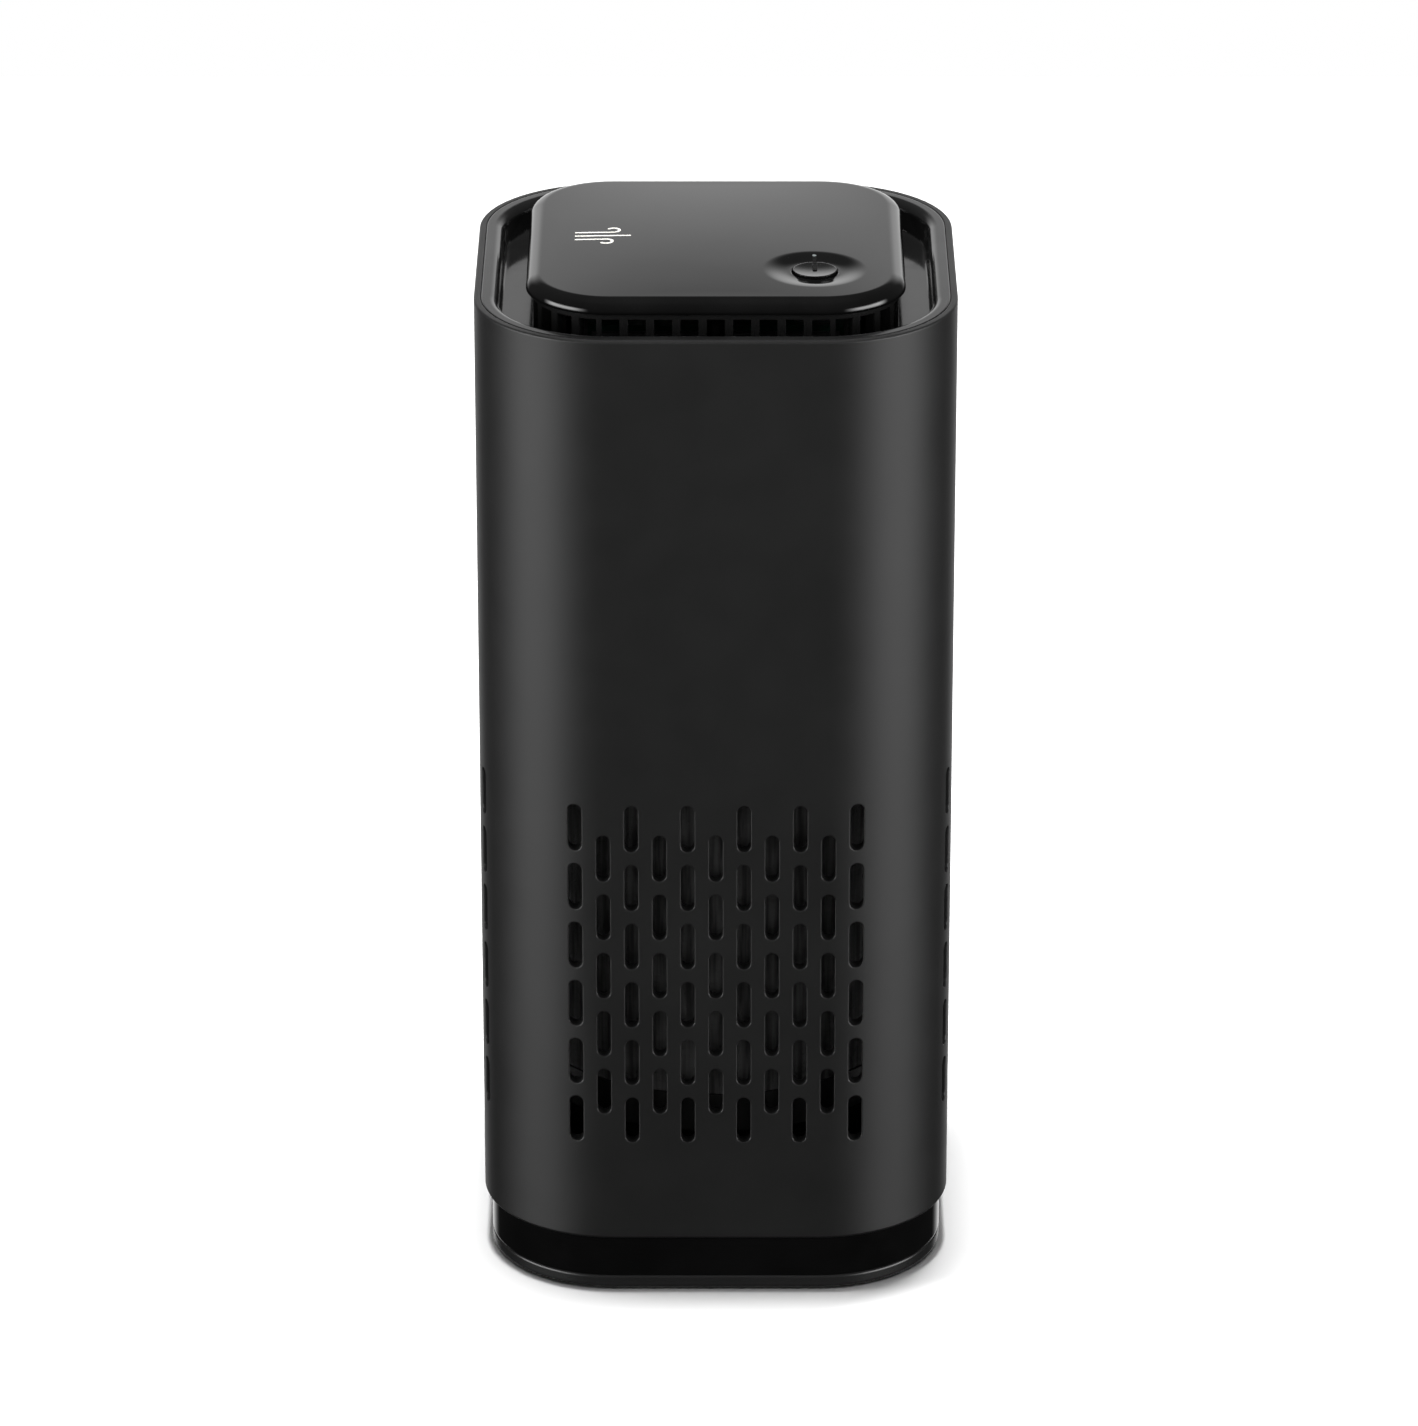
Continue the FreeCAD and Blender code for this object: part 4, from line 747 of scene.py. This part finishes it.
def crown_drop(x, y):
    """The fall of the cap's gently crowned face from its middle, and its slopes along x and y."""
    half = PANEL_HALF
    across, along = x / half, y / half
    drop = CROWN * (1 - (1 - across ** 2) * (1 - along ** 2))
    slope_x = CROWN * 2 * across * (1 - along ** 2) / half
    slope_y = CROWN * 2 * along * (1 - across ** 2) / half
    return drop, slope_x, slope_y


def cap_corner(x, y, top):
    """A corner on the cap's face, with its normal."""
    away = np.array((x - BUTTON[0], y - BUTTON[1]))
    radius = np.linalg.norm(away)
    drop, slope_x, slope_y = crown_drop(x, y)
    nudge = 0.01
    slope = (dish_drop(radius + nudge) - dish_drop(radius - nudge)) / (2 * nudge)
    toward = away / max(radius, NO_LENGTH)
    normal = (slope * toward[0] + slope_x, slope * toward[1] + slope_y, 1.0)
    return (x, y, top - drop - dish_drop(radius)), normal


def circle(centre, radius, steps):
    """The points of a circle, each with its outward direction."""
    ring = []
    for step in range(steps):
        angle = 2 * math.pi * step / steps
        out = (math.cos(angle), math.sin(angle))
        ring.append(((centre[0] + radius * out[0], centre[1] + radius * out[1]), out))
    return ring


def cap_face(sheets, low, high):
    """The cap's crowned face with its dish, and the flat face under it."""
    points = [tuple(place) for place, _ in square_ring(PANEL_HALF - PANEL_EDGE, PANEL_CORNER - PANEL_EDGE)]
    edges = loop_edges(0, len(points))
    hole = range(len(points), len(points) + DISH_STEPS)
    radii = list(np.linspace(BUTTON_HOLE + HOLE_EDGE, DISH_FLOOR, DISH_FLOOR_RINGS))
    radii += list(np.linspace(DISH_FLOOR, DISH_RIM, DISH_SIDE_RINGS))[1:]
    for radius in radii:
        edges += loop_edges(len(points), DISH_STEPS)
        points += [place for place, _ in circle(BUTTON, radius, DISH_STEPS)]
    reach = PANEL_HALF - PANEL_CORNER
    grid = np.arange(-PANEL_GRID_REACH, PANEL_GRID_REACH + PANEL_GRID / 2, PANEL_GRID)
    for x in grid:
        for y in grid:
            from_corner = math.hypot(max(abs(x) - reach, 0), max(abs(y) - reach, 0))
            from_button = math.hypot(x - BUTTON[0], y - BUTTON[1])
            if (from_corner <= PANEL_CORNER - PANEL_EDGE - PANEL_GRID_ROOM
                    and from_button > DISH_RIM + PANEL_GRID_ROOM):
                points.append((x, y))
    for triangle in triangles(points, edges):
        if all(index in hole for index in triangle):
            continue
        sheets.face([cap_corner(*points[index], high) for index in triangle])
        sheets.face([((*points[index], low), (0, 0, -1)) for index in triangle])


def cap_edge(sheets, low, high):
    """The cap's round edge, which follows the crown at its top and is level at its foot."""
    profile = rounded_profile([
        (PANEL_EDGE, low, 0), (0, low, PANEL_LOWER_EDGE), (0, high, PANEL_EDGE), (PANEL_EDGE, high, 0)],
        closed=False, steps=PANEL_EDGE_STEPS)
    rows = []
    for (inset, height), (inward, up) in profile:
        share = (height - low) / (high - low)
        lean = max(up, 0)
        row = []
        for place, direction in square_ring(PANEL_HALF - inset, PANEL_CORNER - inset):
            drop, slope_x, slope_y = crown_drop(*place)
            normal = (slope_x * lean - direction[0] * inward, slope_y * lean - direction[1] * inward, up)
            row.append(((*place, height - drop * share), normal))
        rows.append(row)
    for first, second in zip(rows, rows[1:]):
        sheets.strip(first, second)


def button_hole_side(sheets, low, high):
    """The round edge and the side of the button's hole."""
    rows = []
    for step in range(HOLE_EDGE_STEPS + 1):
        angle = math.pi / 2 * step / HOLE_EDGE_STEPS
        cosine, sine = math.cos(angle), math.sin(angle)
        row = []
        for (x, y), out in circle(BUTTON, BUTTON_HOLE + HOLE_EDGE * (1 - sine), DISH_STEPS):
            level = high - DISH_DEPTH - crown_drop(x, y)[0] - HOLE_EDGE * (1 - cosine)
            row.append(((x, y, level), (-out[0] * sine, -out[1] * sine, cosine)))
        rows.append(row)
    inner = circle(BUTTON, BUTTON_HOLE, DISH_STEPS)
    outer = circle(BUTTON, BUTTON_HOLE + HOLE_EDGE, DISH_STEPS)
    rows.append([((x, y, low), (-out[0], -out[1], 0)) for (x, y), out in inner])
    for first, second in zip(rows, rows[1:]):
        sheets.strip(first, second)
    sheets.strip([((x, y, low), (0, 0, -1)) for (x, y), _ in inner],
                 [((x, y, low), (0, 0, -1)) for (x, y), _ in outer])


def make_cap():
    """The gloss cap: a crowned face with a soft dish, a round edge and four posts below."""
    low = heights("vent_ring")[1]
    end, high = heights("top_panel")
    sheets = Sheets()
    cap_face(sheets, low, high)
    cap_edge(sheets, low, high)
    button_hole_side(sheets, low, high)
    for x, y in ((POST_PLACE, 0), (-POST_PLACE, 0), (0, POST_PLACE), (0, -POST_PLACE)):
        tube(sheets, (x, y), POST_RADIUS, POST_BORE, end, low)
    sheets.build("cap_shell", "housing", "cap_gloss", "top_panel")


# ---------------------------------------------------------------- marks

def ribbon(sheets, path, width, thick):
    """A thin flat line laid on the cap along a path of (x, y) points."""
    path = [np.array(point, float) for point in path]
    top = heights("top_panel")[1]
    sides = ([], [])
    for index, point in enumerate(path):
        before = path[max(index - 1, 0)]
        after = path[min(index + 1, len(path) - 1)]
        ahead = (after - before) / np.linalg.norm(after - before)
        across = np.array((-ahead[1], ahead[0])) * width / 2
        for side, spot in zip(sides, (point + across, point - across)):
            side.append(cap_corner(*spot, top))
    lift = np.array((0, 0, thick))
    sink = np.array((0, 0, -MARK_SINK))
    upper = [[(place + lift, normal) for place, normal in side] for side in sides]
    lower = [[(place + sink, (0, 0, -1)) for place, _ in side] for side in sides]
    sheets.strip(*upper, closed=False)
    sheets.strip(*lower, closed=False)
    rim = [upper[0], upper[1], lower[1], lower[0]]
    for end, inner in ((0, 1), (-1, -2)):
        normal = (*(path[end] - path[inner]), 0.0)
        sheets.face([(row[end][0], normal) for row in rim])
    for high, low, other in ((upper[0], lower[0], upper[1]), (upper[1], lower[1], upper[0])):
        for index in range(len(path) - 1):
            outward = high[index][0] - other[index][0]
            normal = (outward[0], outward[1], 0.0)
            corners = (high[index], high[index + 1], low[index + 1], low[index])
            sheets.face([(place, normal) for place, _ in corners])


def make_power_bar_shades():
    """The power sign's bar as dark strips of painted shade for its groove: from the button's middle, and on
    up the dish's rear side.
    """
    sheets = Sheets()
    # painted shade: a dark block sits in the button's groove, just below the button's top, so that the groove
    # reads dark
    level = heights("power_button")[1] - BAR_SINK
    x, y = BUTTON
    half = BAR_WIDTH / 2
    corners = [(x - half, y), (x + half, y), (x + half, y + BAR_LENGTH), (x - half, y + BAR_LENGTH)]
    sheets.face([((*corner, level), (0, 0, 1)) for corner in corners])
    sheets.face([((*corner, level - BAR_DEPTH), (0, 0, -1)) for corner in corners])
    for index, outward in enumerate(((0, -1, 0), (1, 0, 0), (0, 1, 0), (-1, 0, 0))):
        first, last = corners[index], corners[(index + 1) % 4]
        places = ((*first, level), (*last, level), (*last, level - BAR_DEPTH), (*first, level - BAR_DEPTH))
        sheets.face([(place, outward) for place in places])
    sheets.build("power_bar", "button", "rubber")
    # painted shade: a dark ribbon laid flat on the dish's rear side stands for the shade in a notch there
    rear = Sheets()
    start = y + BUTTON_HOLE + REAR_BAR_START
    path = [(x, start + REAR_BAR_STEP * step) for step in range(REAR_BAR_STEPS + 1)]
    ribbon(rear, path, BAR_WIDTH, REAR_BAR_THICK)
    rear.build("power_bar_rear", "housing", "rubber")


def make_light_pipe():
    """The round end of the light pipe, on the dish's rear side."""
    top = heights("top_panel")[1]
    low = heights("light_pipe")[0]
    centre = (BUTTON[0], BUTTON[1] + PIPE_PLACE)
    (x, y, level), facing = cap_corner(*centre, top)
    rim = []
    foot = []
    for place, out in circle(centre, PIPE_RADIUS, PIPE_STEPS):
        rim.append(((*place, cap_corner(*place, top)[0][2] + PIPE_RISE), (*out, 0)))
        foot.append(((*place, low), (*out, 0)))
    sheets = Sheets()
    sheets.fan(((x, y, level + 2 * PIPE_RISE), facing), [(place, facing) for place, _ in rim])
    sheets.strip(rim, foot)
    sheets.fan(((*centre, low), (0, 0, -1)), [(place, (0, 0, -1)) for place, _ in foot])
    sheets.build("light_pipe_end", "housing", "led", "light_pipe")


def make_airflow_mark():
    """A plain sign for moving air: three lines, two of which curl at their ends."""
    sheets = Sheets()
    for height, length, curl in AIR_LINES:
        x, y = AIR_START[0], AIR_START[1] + height
        path = [(x + length * step / AIR_LINE_STEPS, y) for step in range(AIR_LINE_STEPS + 1)]
        if curl:
            for step in range(1, AIR_CURL_STEPS + 1):
                angle = AIR_CURL_ANGLE * step - math.pi / 2
                path.append((x + length + AIR_CURL * math.cos(angle),
                             y + curl * AIR_CURL * (1 + math.sin(angle))))
        ribbon(sheets, path, AIR_WIDTH, AIR_THICK)
    sheets.build("airflow_mark", "housing", "plug_white")


# ---------------------------------------------------------------- studio

class WorldNodes:
    """Short ways to build the studio's light from the direction that a ray goes in."""

    def __init__(self):
        world = bpy.data.worlds.new("studio")
        world.use_nodes = True
        bpy.context.scene.world = world
        self.tree = world.node_tree
        self.tree.nodes.clear()

    def add(self, kind, **settings):
        """Adds a node to this tree."""
        return add_node(self.tree, kind, **settings)

    def maths(self, operation, *values):
        """Adds a maths node to this tree."""
        return add_maths(self.tree, operation, *values)

    def step(self, source, start, end):
        """A smooth step from 0 at start to 1 at end, in degrees."""
        node = self.add("ShaderNodeMapRange", interpolation_type="SMOOTHSTEP")
        self.tree.links.new(source, node.inputs["Value"])
        low, high = sorted((start, end))
        node.inputs["From Min"].default_value = math.radians(low)
        node.inputs["From Max"].default_value = math.radians(high)
        node.inputs["To Min"].default_value = 0.0 if start < end else 1.0
        node.inputs["To Max"].default_value = 1.0 if start < end else 0.0
        return node.outputs["Result"]

    def zone(self, strength, *steps):
        """The product of several steps, times a strength."""
        total = steps[0]
        for step in steps[1:]:
            total = self.maths("MULTIPLY", total, step)
        return self.maths("MULTIPLY", total, strength)


def make_world():
    """White for the camera; for the object a dark front, two upright strips and a white back."""
    world = WorldNodes()
    bpy.context.scene.world.cycles_visibility.diffuse = False
    direction = world.add("ShaderNodeSeparateXYZ")
    place = world.add("ShaderNodeTexCoord").outputs["Generated"]
    world.tree.links.new(place, direction.inputs[0])
    side, ahead, up = direction.outputs
    turn = world.maths("ARCTAN2", world.maths("ABSOLUTE", side), world.maths("MULTIPLY", ahead, -1.0))
    height = world.maths("ARCSINE", up)
    strips = world.zone(8.5, world.step(turn, 27, 54), world.step(turn, 100, 80),
                        world.step(height, -26, 2), world.step(height, 14, 5))
    back = world.zone(1.05, world.step(turn, 140, 165), world.step(height, -60, -20),
                      world.step(height, 30, 12))
    top = world.zone(0.04, world.step(height, 50, 80))
    total = world.maths("ADD", world.maths("ADD", strips, back), top)
    around_all = world.zone(0.05, world.step(height, -35, 5))
    total = world.maths("ADD", world.maths("ADD", total, around_all), 0.012)
    seen = world.add("ShaderNodeLightPath").outputs["Is Camera Ray"]
    mix = world.add("ShaderNodeMixShader")
    studio = world.add("ShaderNodeBackground")
    white = world.add("ShaderNodeBackground")
    white.inputs["Color"].default_value = grey(1.0)
    world.tree.links.new(total, studio.inputs["Strength"])
    studio.inputs["Color"].default_value = grey(1.0)
    world.tree.links.new(seen, mix.inputs["Fac"])
    world.tree.links.new(studio.outputs[0], mix.inputs[1])
    world.tree.links.new(white.outputs[0], mix.inputs[2])
    output = world.add("ShaderNodeOutputWorld")
    world.tree.links.new(mix.outputs[0], output.inputs["Surface"])


def make_floor():
    """A plain pale floor that meets the feet."""
    reach = FLOOR_REACH
    mesh = bpy.data.meshes.new("floor")
    corners = [(-reach, -reach, 0), (reach, -reach, 0), (reach, reach, 0), (-reach, reach, 0)]
    mesh.from_pydata(corners, [], [(0, 1, 2, 3)])
    floor = bpy.data.objects.new("floor", mesh)
    bpy.context.scene.collection.objects.link(floor)
    look = Look("floor_paint", 0.7)
    look.colours(look.between(look.noise(300.0), 0.0, 1.0), grey(0.88), grey(0.9))
    mesh.materials.append(look.material)
    floor.visible_glossy = False
    floor.visible_diffuse = False
    return floor


def make_light(name, size, place, target, power):
    """A soft rectangular lamp aimed at a point."""
    lamp = bpy.data.lights.new(name, "AREA")
    lamp.shape = "RECTANGLE"
    lamp.size, lamp.size_y = size
    lamp.energy = power
    holder = bpy.data.objects.new(name, lamp)
    holder.location = place
    holder.rotation_euler = (Vector(target) - Vector(place)).to_track_quat("-Z", "Y").to_euler()
    holder.visible_camera = False
    holder.visible_glossy = False
    bpy.context.scene.collection.objects.link(holder)
    return holder


def keep_off(lamp, thing):
    """Keeps a lamp's light off one object."""
    group = bpy.data.collections.new(lamp.name + "_keeps_off")
    group.objects.link(thing)
    lamp.light_linking.receiver_collection = group
    group.collection_objects[0].light_linking.link_state = "EXCLUDE"


def make_lamps(floor):
    """A lamp overhead for the floor and its close shadow, and soft ones for the object's sides."""
    make_light("overhead", (0.3, 0.08), (-0.01, 0.018, 1.4), (0, 0, 0), 38.0)
    make_light("fill", (1.0, 1.0), (0.0, 0.0, 1.5), (0, 0, 0), 13.0)
    for name, place, power in (("left", (-1.0, -0.6, 0.3), 13.0), ("right", (1.0, -0.6, 0.3), 13.0),
                               ("front", (0.0, -1.2, 0.5), 5.5), ("rear", (0.0, 1.2, 0.4), 10.0)):
        keep_off(make_light(name, (0.8, 0.8), place, (0, 0, 0.08), power), floor)


def make_camera():
    """A long lens in front of the object, above it and looking down."""
    camera = bpy.data.cameras.new("camera")
    camera.lens = 189.97
    camera.sensor_width = 36.0
    camera.shift_x = -0.0048
    holder = bpy.data.objects.new("camera", camera)
    holder.location = (0.0, -1.04026, 0.51896)
    holder.rotation_euler = (math.radians(90 - 22.90), 0, 0)
    bpy.context.scene.collection.objects.link(holder)
    bpy.context.scene.camera = holder


looks = make_looks()
make_housing()
make_trim()
make_cap()
make_power_bar_shades()
make_light_pipe()
make_airflow_mark()
make_world()
make_lamps(make_floor())
make_camera()
bpy.context.scene.view_settings.view_transform = "Standard"
